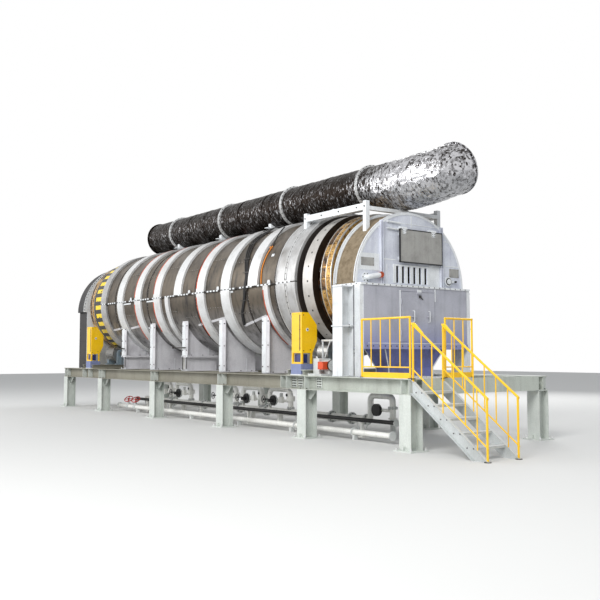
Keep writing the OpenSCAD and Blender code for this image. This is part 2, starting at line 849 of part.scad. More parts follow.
// Side legs of the hood on the main beams, and the box's front corner posts
module hood_legs() {
    y1 = hood_r + column_s;
    mid_x = hood_x1 - leg_back;
    split_z = deck_z + leg_split;
    color("whitesmoke") both_sides() {
        translate([mid_x, y1 - column_s / 2, deck_z])
            linear_extrude(box_z1 - deck_z) i_profile(column_s, column_s);
        block(hood_x1, box_x1 - 10, box_w / 2, box_w / 2 + 100, deck_z, box_z1);
        block(mid_x - column_s / 2 - 20, mid_x + column_s / 2 + 20, y1 - column_s, y1 + 20,
            split_z, split_z + 24);
    }
}

// Plain feed hood at the hidden end, by symmetry
module feed_hood() {
    y = box_w / 2;
    color("lightsteelblue") difference() {
        union() {
            intersection() {
                bar_x(feed_x0, feed_x1 - plate_t, hood_r, 0, arch_z);
                block(feed_x0, feed_x1 - plate_t, -hood_r, hood_r, arch_z, arch_z + hood_r);
            }
            block(feed_x0, feed_x1 - plate_t, -y, y, deck_z, arch_z);
        }
        intersection() {
            bar_x(feed_x0 + plate_t, feed_x1 + past, hood_r - plate_t, 0, arch_z);
            block(feed_x0, feed_x1 + past, -hood_r, hood_r, arch_z - past, arch_z + hood_r);
        }
        block(feed_x0 + plate_t, feed_x1 + past, plate_t - y, y - plate_t, deck_z + plate_t,
            arch_z + past);
    }
}

module feed_hood_plate() {
    color("white") difference() {
        union() {
            intersection() {
                bar_x(feed_x1 - plate_t, feed_x1, hood_r + 60, 0, arch_z);
                block(feed_x1 - plate_t, feed_x1, -2 * hood_r, 2 * hood_r, arch_z,
                    arch_z + 2 * hood_r);
            }
            block(feed_x1 - plate_t, feed_x1, -box_w / 2, box_w / 2, deck_z, arch_z);
        }
        bar_x(feed_x1 - plate_t - past, feed_x1 + past, hood_hole);
    }
}

// Platform, its guard rails and the stair
module platform_deck() {
    color("silver") block(walk_x0, platform_x1, walk_y0, walk_y1, deck_z, deck_z + deck_t);
}

module rail_post(x, y, z0, h) {
    bar_z(x, y, z0, z0 + h, rail_d / 2 - 2);
}

module rail_panel(p, q, h) {
    n = max(2, round(norm(q - p) / 264));
    z0 = deck_z + deck_t;
    dir = (q - p) / norm(q - p);
    for (k = [1 : n - 1])
        translate(concat(p + (q - p) * k / n, [z0 + 200])) cylinder(h = h - 200, r = bar_d / 2);
    for (z = [200, h])
        translate(concat(p, [z0 + z])) rotate([0, 90, atan2(dir[1], dir[0])])
            cylinder(h = norm(q - p), r = z == h ? rail_d / 2 : bar_d / 2 + 2);
}

module platform_rails() {
    in = 30;
    z0 = deck_z + deck_t;
    a = [platform_x0, walk_y0 + in];
    b = [platform_x1 - in, walk_y0 + in];
    c = [platform_x1 - in, walk_y0 + stair_w + 100];
    d = [platform_x1 - in, walk_y1 - in];
    color("gold") {
        for (p = [a, b, c, d]) {
            rail_post(p[0], p[1], z0, rail_h);
            translate([p[0], p[1], z0 + rail_h]) sphere(r = rail_d / 2 + 1, $fn = 32);
        }
        rail_panel(a, b, rail_h);
        rail_panel(c, d, rail_h);
        block(a[0], b[0], a[1] - 4, a[1] + 4, z0, z0 + 100);
        block(c[0] - 4, c[0] + 4, c[1], d[1], z0, z0 + 100);
    }
}

// Stair: the stringers' top edge runs through the nosings
slope = deck_z / stair_run;
stringer_v = 260;
stair_y0 = walk_y0;
stair_y1 = walk_y0 + stair_w;
stair_flange = 60;
function stair_z(x) = deck_z - (x - platform_x1) * slope;

module stair_strip(y0, y1, drop, depth) {
    xz_plate(y0, y1, [[platform_x1, deck_z - drop],
        [platform_x1 + (deck_z - drop) / slope, 0],
        [platform_x1 + (deck_z - drop - depth) / slope, 0],
        [platform_x1, deck_z - drop - depth]]);
}

module stair_stringers() {
    color("gainsboro") {
        for (s = [[stair_y0, stair_y0 + stair_flange], [stair_y1 - stair_flange, stair_y1]]) {
            web = s[0] == stair_y0 ? [s[1] - web_t, s[1]] : [s[0], s[0] + web_t];
            union() {
                stair_strip(web[0], web[1], 0, stringer_v);
                stair_strip(s[0], s[1], 0, 14);
                stair_strip(s[0], s[1], stringer_v - 14, 14);
            }
        }
    }
}

module stair_treads() {
    riser = deck_z / (tread_n + 1);
    color("gainsboro") for (k = [1 : tread_n]) {
        x = platform_x1 + riser * k / slope;
        block(x - tread_d, x, stair_y0 + stair_flange, stair_y1 - stair_flange,
            deck_z - riser * k - 40, deck_z - riser * k);
    }
}

module stair_rail(y) {
    h = 1000;
    low = 200;
    angle = atan(slope);
    len = stair_run / cos(angle);
    x1 = platform_x1 + stair_run;
    n = 7;
    difference() {
        union() {
            rail_post(platform_x1 + rail_d, y, stair_z(platform_x1 + 2 * rail_d), h + rail_d * slope);
            rail_post(x1 - rail_d, y, 0, h + stair_z(x1 - rail_d));
            for (k = [1 : n - 1]) {
                x = platform_x1 + stair_run * k / n;
                z0 = k % 3 == 0 ? stair_z(x + bar_d) : stair_z(x) + low;
                bar_z(x, y, z0, stair_z(x) + h, bar_d / 2);
            }
            intersection() {
                union() {
                    translate([platform_x1, y, deck_z + h]) rotate([0, 90 + angle, 0])
                        cylinder(h = len, r = rail_d / 2);
                    translate([platform_x1, y, deck_z + low]) rotate([0, 90 + angle, 0])
                        cylinder(h = len, r = bar_d / 2 + 2);
                }
                block(platform_x1 + rail_d / 2, x1 - rail_d / 2, y - rail_d, y + rail_d, 0,
                    deck_z + 2 * h);
            }
        }
        stair_strip(y - rail_d, y + rail_d, 0, stringer_v);
    }
}

module stair_rails() {
    color("gold") {
        stair_rail(stair_y0 + stair_flange / 2);
        stair_rail(stair_y1 - stair_flange / 2);
    }
}

// Overhead duct: a straight run, a widening piece with a flat top, and an elbow that turns up
module duct_run() {
    flange = 50;
    color("silver") {
        tube_x(duct_x0, duct_neck - reducer_l, duct_r, duct_r - duct_t, 0, duct_z);
        tube_x(duct_x0 - plate_t, duct_x0, duct_r + flange, duct_r - duct_t, 0, duct_z);
    }
}

module widening(r_small, r_big, over) {
    thin = 1;
    hull() {
        bar_x(duct_neck - reducer_l - over, duct_neck - reducer_l - over + thin, r_small, 0,
            duct_z, $fn = 64);
        bar_x(duct_neck + over - thin, duct_neck + over, r_big, 0, elbow_z, $fn = 64);
    }
}

module duct_reducer() {
    color("silver") difference() {
        widening(duct_r, bend_r, 0);
        widening(duct_r - duct_t, bend_r - duct_t, 1);
    }
}

module duct_elbow() {
    flange = 40;
    flange_h = 30;
    color("gainsboro") {
        translate([duct_x1, 0, elbow_z]) rotate([elbow_tilt, 0, 0]) {
            tube_x(fit - elbow_lead, 0, bend_r, bend_r - duct_t, 0, 0);
            translate([0, elbow_r, 0]) rotate([0, 0, -90]) rotate_extrude(angle = 90)
                translate([elbow_r, 0]) difference() {
                    circle(r = bend_r);
                    circle(r = bend_r - duct_t);
                }
            translate([elbow_r, elbow_r, 0]) rotate([-90, 0, 0]) difference() {
                union() {
                    cylinder(h = elbow_tail, r = bend_r);
                    translate([0, 0, elbow_tail - flange_h])
                        cylinder(h = flange_h, r = bend_r + flange);
                }
                translate([0, 0, -past]) cylinder(h = elbow_tail + 2 * past, r = bend_r - duct_t);
            }
        }
    }
}

// Posts and beams over the seal that carry the duct's end
module duct_frame() {
    half = post_s / 2;
    post_z1 = frame_z0 + beam_long + 50;
    pad_w = 240;
    color("whitesmoke") {
        both_sides() {
            difference() {
                block(post_x[0] - half, post_x[0] + half, post_y - half, post_y + half,
                    axis_z, post_z1);
                bar_x(post_x[0] - post_s, post_x[0] + post_s, hoop_r + fit, $fn = 240);
            }
            difference() {
                block(post_x[1] - half, post_x[1] + half, post_y - half, post_y + half,
                    axis_z, post_z1);
                bar_x(post_x[1] - post_s, post_x[1] + post_s, hood_r + fit, 0, arch_z, $fn = 240);
            }
            block(post_x[0] + half, post_x[1] - half, post_y - half, post_y + half, frame_z0,
                frame_z0 + beam_long);
        }
        difference() {
            block(post_x[0] - half, post_x[0] + half, half - post_y, post_y - half, frame_z0,
                frame_z0 + beam_long);
            bar_x(post_x[0] - post_s, post_x[0] + post_s, hoop_r + fit, $fn = 240);
        }
        block(post_x[1] - half, post_x[1] + half, half - post_y, post_y - half, frame_z0,
            frame_z0 + beam_cross);
        difference() {
            block(post_x[1] - half, post_x[1] + half, -pad_w / 2, pad_w / 2,
                frame_z0 + beam_cross, elbow_z - bend_r + beam_cross);
            bar_x(post_x[1] - post_s, post_x[1] + post_s, bend_r + fit, 0, elbow_z, $fn = 360);
        }
    }
}

module duct_feet() {
    foot = 60;
    foot_w = 300;
    color("whitesmoke") for (x = [hoop_x(6), hoop_x(4), hoop_x(2), post_x[0]])
        difference() {
            block(x - foot, x + foot, -foot_w, foot_w, axis_z + casing_r, duct_z - duct_r + 150);
            bar_x(x - 2 * foot, x + 2 * foot, hoop_r + fit, $fn = 360);
            bar_x(x - 2 * foot, x + 2 * foot, duct_r + fit, 0, duct_z, $fn = 360);
        }
}

// Gas header, its loops under the deck, and a riser from each loop to the casing
riser_d = 60;
riser_z = axis_z - sqrt(pow(casing_r, 2) - pow(header_y - riser_d / 2, 2));
module gas_pipes() {
    x0 = casing_x0 + header_back;
    x1 = hood_x0 - 400;
    half = 450;
    bend = 2 * loop_d;
    color("white") translate([0, -header_y, 0]) {
        bar_x(x0, x1, header_d / 2, 0, header_z);
        for (k = [2, 3, 4, 6, 7]) {
            x = hoop_x(k) + hoop_pitch / 2;
            for (u = [-1, 1]) bar_z(x + u * half, 0, header_z, loop_z - bend, loop_d / 2);
            bar_x(x - half + bend, x + half - bend, loop_d / 2, 0, loop_z);
            translate([x - half + bend, 0, loop_z - bend]) rotate([90, -180, 0])
                mirror([0, 1, 0]) rotate_extrude(angle = 90) translate([bend, 0])
                    circle(r = loop_d / 2);
            translate([x + half - bend, 0, loop_z - bend]) rotate([90, 0, 0])
                rotate_extrude(angle = 90) translate([bend, 0]) circle(r = loop_d / 2);
            bar_z(x, 0, loop_z, riser_z, riser_d / 2);
            block(x - 40, x + 40, -60, 60, 0, header_z);
        }
    }
}

main_beams();
stringers();
cross_beams();
columns();
base_plates();
beam_plates();
casing_lower();
casing_upper();
hoops_lower();
hoops_upper();
end_rings();
end_walls();
split_flanges();
saddles();
saddle_feet();
drum_shell_feed();
drum_shell_middle();
drum_shell_discharge();
tyre_near();
tyre_far();
tyre_pads();
seal_rings();
roller_near_front();
roller_near_rear();
roller_far_front();
roller_far_rear();
bearing_blocks();
roller_beds();
nip_guards();
guard_stands();
drive_motor();
motor_box();
hood_rear_plate();
hood_collar();
hood_face();
hood_ribs();
hood_flap();
flap_brackets();
hood_ledge();
hood_box();
access_door();
hood_hopper();
hood_legs();
feed_hood();
feed_hood_plate();
platform_deck();
platform_rails();
stair_stringers();
stair_treads();
stair_rails();
duct_run();
duct_reducer();
duct_elbow();
duct_frame();
duct_feet();
gas_pipes();
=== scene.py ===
# %% [markdown]
# A rotary kiln for Blender 4.5, dressed on a finished frame. The frame holds every rigid piece in
# its true place, in metres, with X along the kiln towards the discharge hood, Z up and the walkway
# side at -Y. This lesson adds what the frame leaves out: bolts, seams, bare plates, the crinkled
# foil of the duct, and a material for each surface.

# %% Load the frame
import math
import random
from itertools import product

import bmesh
import bpy
from mathutils import Matrix, Vector, noise


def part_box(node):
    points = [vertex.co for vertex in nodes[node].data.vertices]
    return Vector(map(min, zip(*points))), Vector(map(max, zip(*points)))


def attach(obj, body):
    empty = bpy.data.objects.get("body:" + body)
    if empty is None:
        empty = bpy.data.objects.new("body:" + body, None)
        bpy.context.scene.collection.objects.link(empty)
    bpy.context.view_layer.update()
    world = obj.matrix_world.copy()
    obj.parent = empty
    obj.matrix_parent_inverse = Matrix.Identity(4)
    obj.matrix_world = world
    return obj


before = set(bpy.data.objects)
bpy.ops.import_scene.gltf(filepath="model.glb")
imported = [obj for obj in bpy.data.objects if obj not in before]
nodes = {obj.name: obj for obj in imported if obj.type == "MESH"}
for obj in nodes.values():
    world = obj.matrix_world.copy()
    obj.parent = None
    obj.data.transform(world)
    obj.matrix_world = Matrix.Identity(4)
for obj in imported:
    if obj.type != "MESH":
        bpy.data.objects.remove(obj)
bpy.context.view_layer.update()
AXIS_Z = 3.35  # the height of the kiln's axis

# %% [markdown]
# The camera stands where the photographer stood: low, off the discharge end, looking slightly up
# along the kiln. Its place and lens come from lines that can be measured on the frame. A plain
# camera with no blur keeps every other view of the model comparable.

# %% Camera
SENSOR = 36.0
IMAGE = 600
FOCAL_PX = 822.67
CAMERA_AT = (18.179, -12.293, 1.719)
LOOK_UP, HEADING = 3.858, 53.41
camera_data = bpy.data.cameras.new("camera")
camera_data.sensor_width = SENSOR
camera_data.lens = FOCAL_PX * SENSOR / IMAGE
camera_data.clip_end = 200
camera = bpy.data.objects.new("camera", camera_data)
camera.location = CAMERA_AT
camera.rotation_euler = (math.radians(90 + LOOK_UP), 0, math.radians(HEADING))
bpy.context.scene.collection.objects.link(camera)
bpy.context.scene.camera = camera
print("lens", round(camera_data.lens, 2), "mm")

# %% [markdown]
# Soft light from large lamps and a pale world shows shapes without hard shadows. The view
# transform stays Standard, so a colour comes out about as it is written. The floor is one plain
# pale sheet that keeps the shadow of the steelwork.

# %% Light, world and floor
scene = bpy.context.scene
scene.view_settings.view_transform = "Standard"


def to_linear(code):
    """An sRGB hex colour as the linear colour that shaders use."""
    channels = [int(code[i:i + 2], 16) / 255 for i in (1, 3, 5)]
    return tuple(c / 12.92 if c <= 0.04045 else ((c + 0.055) / 1.055) ** 2.4
                 for c in channels) + (1,)


def add(tree, kind, values=None, links=None, **settings):
    """Adds one node, with its settings, its socket values and the links into it."""
    made = tree.nodes.new(kind)
    for name, value in settings.items():
        setattr(made, name, value)
    for name, value in (values or {}).items():
        made.inputs[name].default_value = value
    for name, source in (links or {}).items():
        tree.links.new(source, made.inputs[name])
    return made


world = bpy.data.worlds.new("studio")
scene.world = world
world.use_nodes = True
tree = world.node_tree
tree.nodes.clear()
path = add(tree, "ShaderNodeLightPath")
direct = add(tree, "ShaderNodeMath", links={0: path.outputs["Is Camera Ray"],
             1: path.outputs["Is Glossy Ray"]}, operation="MAXIMUM")
seen = add(tree, "ShaderNodeMath", links={0: direct.outputs[0],
           1: path.outputs["Is Transmission Ray"]}, operation="MAXIMUM")
soft = add(tree, "ShaderNodeBackground", {"Color": to_linear("#e9ecf0"), "Strength": 0.62})
white = add(tree, "ShaderNodeBackground", {"Color": to_linear("#ffffff"), "Strength": 1.0})
blend = add(tree, "ShaderNodeMixShader", links={0: seen.outputs[0], 1: soft.outputs[0],
            2: white.outputs[0]})
add(tree, "ShaderNodeOutputWorld", links={"Surface": blend.outputs[0]})


def lamp(name, place, target, size, power):
    """One square area lamp, turned towards a point on the kiln."""
    data = bpy.data.lights.new(name, "AREA")
    data.size = size
    data.energy = power
    made = bpy.data.objects.new(name, data)
    made.location = place
    made.rotation_euler = (Vector(target) - Vector(place)).to_track_quat("-Z", "Y").to_euler()
    scene.collection.objects.link(made)


lamp("key", (14, -16, 13), (0, 0, 2.5), 9, 3250)
lamp("fill", (-12, -17, 9), (-2, 0, 2.5), 10, 1800)
lamp("back", (-6, 16, 12), (0, 0, 3), 10, 1800)

HALF = 60
floor_mesh = bpy.data.meshes.new("floor")
floor_mesh.from_pydata([(-HALF, -HALF, 0), (HALF, -HALF, 0), (HALF, HALF, 0), (-HALF, HALF, 0)],
                       [], [(0, 1, 2, 3)])
floor = bpy.data.objects.new("floor", floor_mesh)
scene.collection.objects.link(floor)
floor_paint = bpy.data.materials.new("floor_sheet")
floor_paint.use_nodes = True
floor_paint.node_tree.nodes["Principled BSDF"].inputs["Base Color"].default_value = \
    to_linear("#d6d6d4")
floor_paint.node_tree.nodes["Principled BSDF"].inputs["Roughness"].default_value = 0.9
floor_mesh.materials.append(floor_paint)
print("lamps", len(bpy.data.lights))

# %% [markdown]
# The same few nodes come up in every material: a sum, a blend of two colours, a moved range, a
# noise. Each gets a short name here, and a colour or number goes in as easily as a link.

# %% Short names for common nodes
finishes = {}


def new_material(name):
    """A new material, kept under its name: its node tree and its shader."""
    made = bpy.data.materials.new(name)
    made.use_nodes = True
    finishes[name] = made
    return made.node_tree, made.node_tree.nodes["Principled BSDF"]


def sorted_terms(terms):
    """Splits terms into plain values and sockets to link."""
    links = {k: v for k, v in terms.items() if isinstance(v, bpy.types.NodeSocket)}
    return {k: v for k, v in terms.items() if k not in links}, links


def maths(tree, operation, *terms, **settings):
    """The result of a maths node on sockets and numbers."""
    return add(tree, "ShaderNodeMath", *sorted_terms(dict(enumerate(terms))),
               operation=operation, **settings).outputs[0]


def mix(tree, share, first, second, **settings):
    """A colour between two others, which are hex codes or sockets."""
    pair = [to_linear(c) if isinstance(c, str) else c for c in (first, second)]
    return add(tree, "ShaderNodeMix", *sorted_terms({0: share, 6: pair[0], 7: pair[1]}),
               data_type="RGBA", **settings).outputs[2]


def remap(tree, value, low, high, to_low=0.0, to_high=1.0):
    """A value moved from one range to another, and held inside it."""
    return add(tree, "ShaderNodeMapRange", {"From Min": low, "From Max": high, "To Min": to_low,
               "To Max": to_high}, {"Value": value}).outputs[0]


def cloudy(tree, place, scale, detail, roughness=0.5):
    """Cloudy noise, from 0 to 1."""
    return add(tree, "ShaderNodeTexNoise", {"Scale": scale, "Detail": detail,
               "Roughness": roughness}, {"Vector": place}).outputs["Fac"]


def object_place(tree):
    """The point on the piece, and its x, y and z."""
    place = add(tree, "ShaderNodeTexCoord").outputs["Object"]
    return place, add(tree, "ShaderNodeSeparateXYZ", links={0: place}).outputs


def plug(tree, shader, height, strength, distance, sockets):
    """Fills the shader's sockets and gives it a relief from a height."""
    relief = add(tree, "ShaderNodeBump", {"Strength": strength, "Distance": distance},
                 {"Height": height}).outputs[0]
    values, links = sorted_terms({"Normal": relief, **sockets})
    for name, value in values.items():
        shader.inputs[name].default_value = value
    for name, source in links.items():
        tree.links.new(source, shader.inputs[name])


print("node names ready")

# %% [markdown]
# Most surfaces of such a plant are steel with a finish: paint, zinc, or bare rolled plate. Each
# finish here is built the same way: a base colour, broad clouds of dirt, fine grain, and streaks
# that run down. A real surface is never one colour, and these three scales are what the eye reads
# first. The scales are in metres, because a piece's object coordinates are the frame's own.

# %% The finish of a sheet
def finish(name, base, dirt, metallic=0.0, roughness=0.5, spread=0.35, cloud=0.8, grain=0.004,
           bump=0.3, streak=0.25, coat=0.0, fade=None, edge=0.75):
    """A weathered sheet: base and dirt colours, cloud size and grain in metres.

    A fade names an axis, two places along it, and the base colour at the second place. A lower
    edge gives patches with a sharper border.
    """
    t, shader = new_material(name)
    place, axes = object_place(t)
    down = add(t, "ShaderNodeMapping", {"Scale": (9.0, 9.0, 0.7)}, {"Vector": place}).outputs[0]
    clouds = cloudy(t, place, 1 / cloud, 6.0, 0.6)
    streaks = cloudy(t, down, 1.0, 4.0, 0.6)
    speck = cloudy(t, place, 1 / (grain * 6), 3.0)
    if fade:
        axis, first, last, other = fade
        base = mix(t, remap(t, axes[axis], first, last), base, other)
    soiled = maths(t, "ADD", remap(t, clouds, 0.45, edge, 0.0, spread),
                   remap(t, streaks, 0.5, 0.8, 0.0, streak), use_clamp=True)
    tone = mix(t, 1.0, mix(t, soiled, base, dirt), remap(t, speck, 0.3, 0.7, 0.93, 1.05),
               blend_type="MULTIPLY")
    dull = remap(t, clouds, 0.0, 1.0, max(roughness - 0.08, 0.05), min(roughness + 0.16, 1.0))
    plug(t, shader, speck, bump, grain, {"Base Color": tone, "Roughness": dull,
                                         "Metallic": metallic, "Coat Weight": coat})


# %% [markdown]
# The finishes of this kiln. Alkyd paint on the frame is a pale grey green, the hood is a cool
# grey, the guards and rails are safety yellow. The hoops are zinc-coated and almost white, the
# cladding is darkened stainless sheet, and the drum's seals are heat-stained steel.

# %% Paints and metals
# Alkyd paint, sprayed on rolled beams: matt, with dust. Its brown grey away from the stair is
# painted shade; near the stair it lifts to the paint's own pale grey green.
finish("alkyd_paint_frame", "#8f8c7e", "#5d574b", roughness=0.5, spread=0.5, cloud=1.4,
       fade=("X", 3.2, 4.5, "#c0c6bd"))
# The same paint on flat plates, without the beams' painted shade, so it is paler.
finish("alkyd_paint_plate", "#c8cdc8", "#8f958c", roughness=0.45, spread=0.45, cloud=0.6)
# The same paint on the columns: a pale grey green with soft stains.
finish("alkyd_paint_column", "#cfd4ce", "#989e98", roughness=0.45, spread=0.45, cloud=0.6)
# Rolled stainless sheet, tinted brown by heat: long soft highlights and runs below, and a paler
# grey towards the bottom that is painted reflection.
finish("stainless_cladding", "#61574a", "#1c1815", metallic=0.5, roughness=0.34, spread=0.9,
       cloud=0.8, streak=0.8, grain=0.003, fade=("Z", 2.95, 2.2, "#a09e9e"))
# Zinc-coated sheet, rolled to a hoop: almost white, a little shiny.
finish("zinc_hoop", "#dcdddd", "#9f9a94", metallic=0.35, roughness=0.38, spread=0.5, cloud=0.5)
# Thicker zinc-coated plate, greyer than the hoops' zinc: painted shade, so that the lamps' glare
# on the wide ring does not burn out. It has blurred stains.
finish("end_ring_zinc", "#b6b6b6", "#827e7a", metallic=0.4, roughness=0.36, spread=0.7,
       cloud=0.4, streak=0.5)
# Bare plate that the heat has dulled: nearly black, with no highlight.
finish("heat_dull_plate", "#352f2b", "#171412", metallic=0.3, roughness=0.55)
# Grey primer, wiped by hand over the webs: pale smudges as wide as a palm. Its grey is set paler
# than it is, as painted light against the shade under the casing; the braces share it.
finish("grey_paint_saddle", "#d4d3d6", "#99969b", roughness=0.45, spread=0.6, cloud=0.5)
# Hot-rolled plate with mill scale and rust: brown and black patches.
finish("rolled_plate_drum", "#6b4a2e", "#1d1510", metallic=0.6, roughness=0.55, spread=1.0,
       cloud=0.3, edge=0.6)
# Ground steel: bright and even, with a thin film of oil.
finish("ground_steel_ring", "#dcdcd8", "#8e8b85", metallic=0.7, roughness=0.3, spread=0.4)
# Spring steel leaves, tinted straw gold by heat, with streaks along them.
finish("heat_stained_seal", "#c9a05c", "#4a3420", metallic=0.6, roughness=0.40, spread=0.9,
       cloud=0.10, edge=0.70, streak=0.9)
# The same leaves where they ran hotter: a dark burnt brown.
finish("burnt_seal", "#7d5c38", "#1d140e", metallic=0.6, roughness=0.45, spread=1.0,
       cloud=0.10, edge=0.62, streak=0.9)
# Turned steel, polished by rolling: it mirrors the beams below it.
finish("turned_roller", "#9d9c99", "#6b6763", metallic=0.9, roughness=0.28)
# Cast iron under machine enamel: an even blue grey.
finish("blue_grey_bearing", "#7a8a94", "#4d565c", roughness=0.45)
# Enamel, brushed on thick: a full colour with a soft gloss.
finish("safety_yellow_enamel", "#fac800", "#d89a08", roughness=0.35, spread=0.25, cloud=0.4,
       coat=0.3)
# Dark glossy blue on the panels that fill the openings between the guard's legs: painted shade.
finish("deep_blue_painted_shade", "#23306e", "#1a2148", roughness=0.3, coat=0.4)
# Alkyd paint on the guard's stand: a dull lavender blue.
finish("blue_stand_paint", "#7e88ae", "#555a70", roughness=0.5)
# Powder-coated aluminium: pale and even, so the fins show by their shadows.
finish("motor_grey", "#cfd2d0", "#8d908e", roughness=0.45)
# Powder coat on a cast box: the one strong orange spot.
finish("orange_box_paint", "#d94c1c", "#a5340f", roughness=0.4)
# Enamel on folded sheet: cool white, with grey runs below each seam.
finish("cool_white_face", "#d3d7e0", "#a9abbd", roughness=0.35, spread=0.6, cloud=0.5, streak=0.5)
# Enamel on folded sheet: cool grey, and bluer towards the hopper.
finish("cool_grey_hood", "#b3b4be", "#8f9099", roughness=0.4, spread=0.6, cloud=0.7, streak=0.5,
       fade=("Z", 2.5, 1.8, "#8288bd"))
# Alkyd paint over rust: violet blue, with brown where it has lifted.
finish("blue_hopper_paint", "#7178b4", "#5a4a44", roughness=0.4, spread=0.7, cloud=0.3)
# White alkyd paint, brushed on trim and edges: it draws the lines of the kiln.
finish("white_trim_paint", "#e3e6e8", "#a7aaac", roughness=0.4, spread=0.4, cloud=0.4)
# Refractory mortar, trowelled on: rough, lumpy and without shine.
finish("brown_refractory_coat", "#85765f", "#54452f", roughness=0.75, spread=0.8, cloud=0.12,
       bump=0.7, grain=0.006)
# Mill-finish sheet with dust: a soft warm grey.
finish("flap_grey_sheet", "#a09f9b", "#6f6d6a", roughness=0.45, spread=0.6, cloud=0.3)
# Hot-dip zinc: pale grey with a faint cloudy pattern.
finish("hot_dip_zinc_stair", "#c9cdcd", "#90938f", metallic=0.5, roughness=0.4)
# White paint over lagging cloth: soft white with dust on top.
finish("white_gas_paint", "#efefea", "#a8a59b", roughness=0.35)
# Matt black with brown patches: painted shade, matching the deep shade that the far end stands in.
finish("black_paint_painted_shade", "#2b2a2c", "#4a4540", roughness=0.6, spread=0.5, cloud=0.5)
# Red oxide primer, rolled on before assembly: thin orange lines at sheet edges.
finish("orange_primer", "#cf4f18", "#7c3014", roughness=0.6, spread=0.8, cloud=0.15, edge=0.6)
# Extruded silicone sheath: even orange with a low gloss.
finish("orange_sheath", "#e08a2e", "#a8561c", roughness=0.45)
# Extruded rubber: black, with a broad weak highlight. The same black serves as painted shade in
# the guards' slots and painted shadow round the flap.
finish("black_rubber_and_painted_shade", "#1b1b1d", "#34322f", roughness=0.55)
# Enamel on cast handwheels: a glossy dark red.
finish("red_enamel", "#b3201a", "#7c1a16", roughness=0.35, coat=0.3)
# Black-oxide bolt steel: dark heads with small bright edges.
finish("dark_bolt_steel", "#4a4744", "#292624", metallic=0.8, roughness=0.4)
print(len(finishes), "finishes")

# %% [markdown]
# The far riding ring is painted black with yellow blocks, so that people see it turn. The near one
# is rolled bright, with a row of slots whose hollows are drawn as dark marks: painted shade. Both
# roll on their rollers, so nothing may stand on them, and the marks are drawn in the material. The
# angle round the kiln's axis is cut into equal shares, and a part of each share is marked. The
# marks turn with the ring, because the pattern uses the ring's own points. The side faces keep the
# brown of hot steel.

# %% Painted marks of the two rings
def ring_paint(name, ring, marks, share_marked, half_width, mark, face, side, metal):
    """Marks at equal angles on a ring's outer face, and stained steel on its side faces."""
    low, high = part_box(ring)
    t, shader = new_material(name)
    place, (x, y, z) = object_place(t)
    angle = maths(t, "ARCTAN2", maths(t, "SUBTRACT", z, AXIS_Z), y)
    part = maths(t, "FRACT", maths(t, "MULTIPLY", angle, marks / (2 * math.pi)))
    away = maths(t, "ABSOLUTE", maths(t, "SUBTRACT", x, (low.x + high.x) / 2))
    chip = cloudy(t, place, 9.0, 6.0)
    on_block = maths(t, "MULTIPLY", maths(t, "LESS_THAN", part, share_marked),
                     maths(t, "LESS_THAN", away, half_width))
    kept = maths(t, "MULTIPLY", on_block, maths(t, "GREATER_THAN", chip, 0.36))
    rim = maths(t, "GREATER_THAN", away, (high.x - low.x) / 2 - 0.004)
    colour = mix(t, rim, mix(t, kept, mix(t, chip, *face), mark), mix(t, chip, *side))
    plug(t, shader, chip, 0.3, 0.002, {"Base Color": colour, "Roughness": 0.38, "Metallic": metal})


ring_paint("striped_ring_enamel", "tyre_far", 36, 0.5, 0.21, "#f2d21c", ("#151517", "#34302c"),
           ("#151517", "#2a2622"), 0.0)
# The near ring's dark marks are painted shade, for the hollows of its slots.
ring_paint("polished_ring_steel", "tyre_near", 30, 0.13, 0.024, "#1b1917", ("#c9c6c2", "#a5a19b"),
           ("#3a2d22", "#15110e"), 0.35)
print("two rings painted")

# %% [markdown]
# The duct is wrapped in mineral wool, and aluminium foil is taped round it by hand. The foil is
# crumpled, so it shows hundreds of small facets: some mirror the lamps, most mirror dark places.
# Most of them are painted a dark brown, as painted reflection of the dark places they would
# mirror, and the duct's top is painted darker still as painted shade. Fewer facets are dark
# towards the elbow. The creases are real geometry, made further down, and this material adds the
# fine wrinkles.

# %% Aluminium foil with painted dark reflections and painted shade
def crumpled_foil():
    """Bright foil metal, with dark brown facets as painted reflection, fewer towards the elbow,
    and painted shade on its top.
    """
    t, shader = new_material("aluminium_foil_facing")
    place, (x, _, z) = object_place(t)
    squeezed = add(t, "ShaderNodeMapping", {"Scale": (2.2, 1.0, 1.0)},
                   {"Vector": place}).outputs[0]
    cell = add(t, "ShaderNodeTexVoronoi", {"Scale": 15.0, "Randomness": 1.0},
               {"Vector": squeezed}, feature="F1")
    lot = add(t, "ShaderNodeSeparateColor", links={0: cell.outputs["Color"]}).outputs[0]
    fine = cloudy(t, squeezed, 22.0, 5.0, 0.65)
    # Random cells and fine folds choose the facets that get the dark brown painted reflection.
    shade = maths(t, "ADD", maths(t, "MULTIPLY", lot, 0.55), fine)
    # The dark brown grows away from the elbow, and on the duct's top as painted shade.
    painted_dark_far_and_shaded_top = maths(t, "ADD", remap(t, x, 3.9, 5.5, 0.36, -0.13), remap(t, z, 5.55, 5.95, 0.0, 0.16))
    painted_dark_share = remap(t, maths(t, "ADD", shade, painted_dark_far_and_shaded_top), 0.62, 1.00)
    plug(t, shader, fine, 0.8, 0.012, {"Base Color": mix(t, painted_dark_share, "#cacacd", "#241d18"),
                                       "Roughness": remap(t, painted_dark_share, 0.0, 1.0, 0.16, 0.42),
                                       "Metallic": 1.0})


crumpled_foil()
print("foil ready")

# %% [markdown]
# Every piece of the frame gets one of these finishes. Its round walls are shaded smoothly at the
# end of the lesson, so that only true edges catch the light.

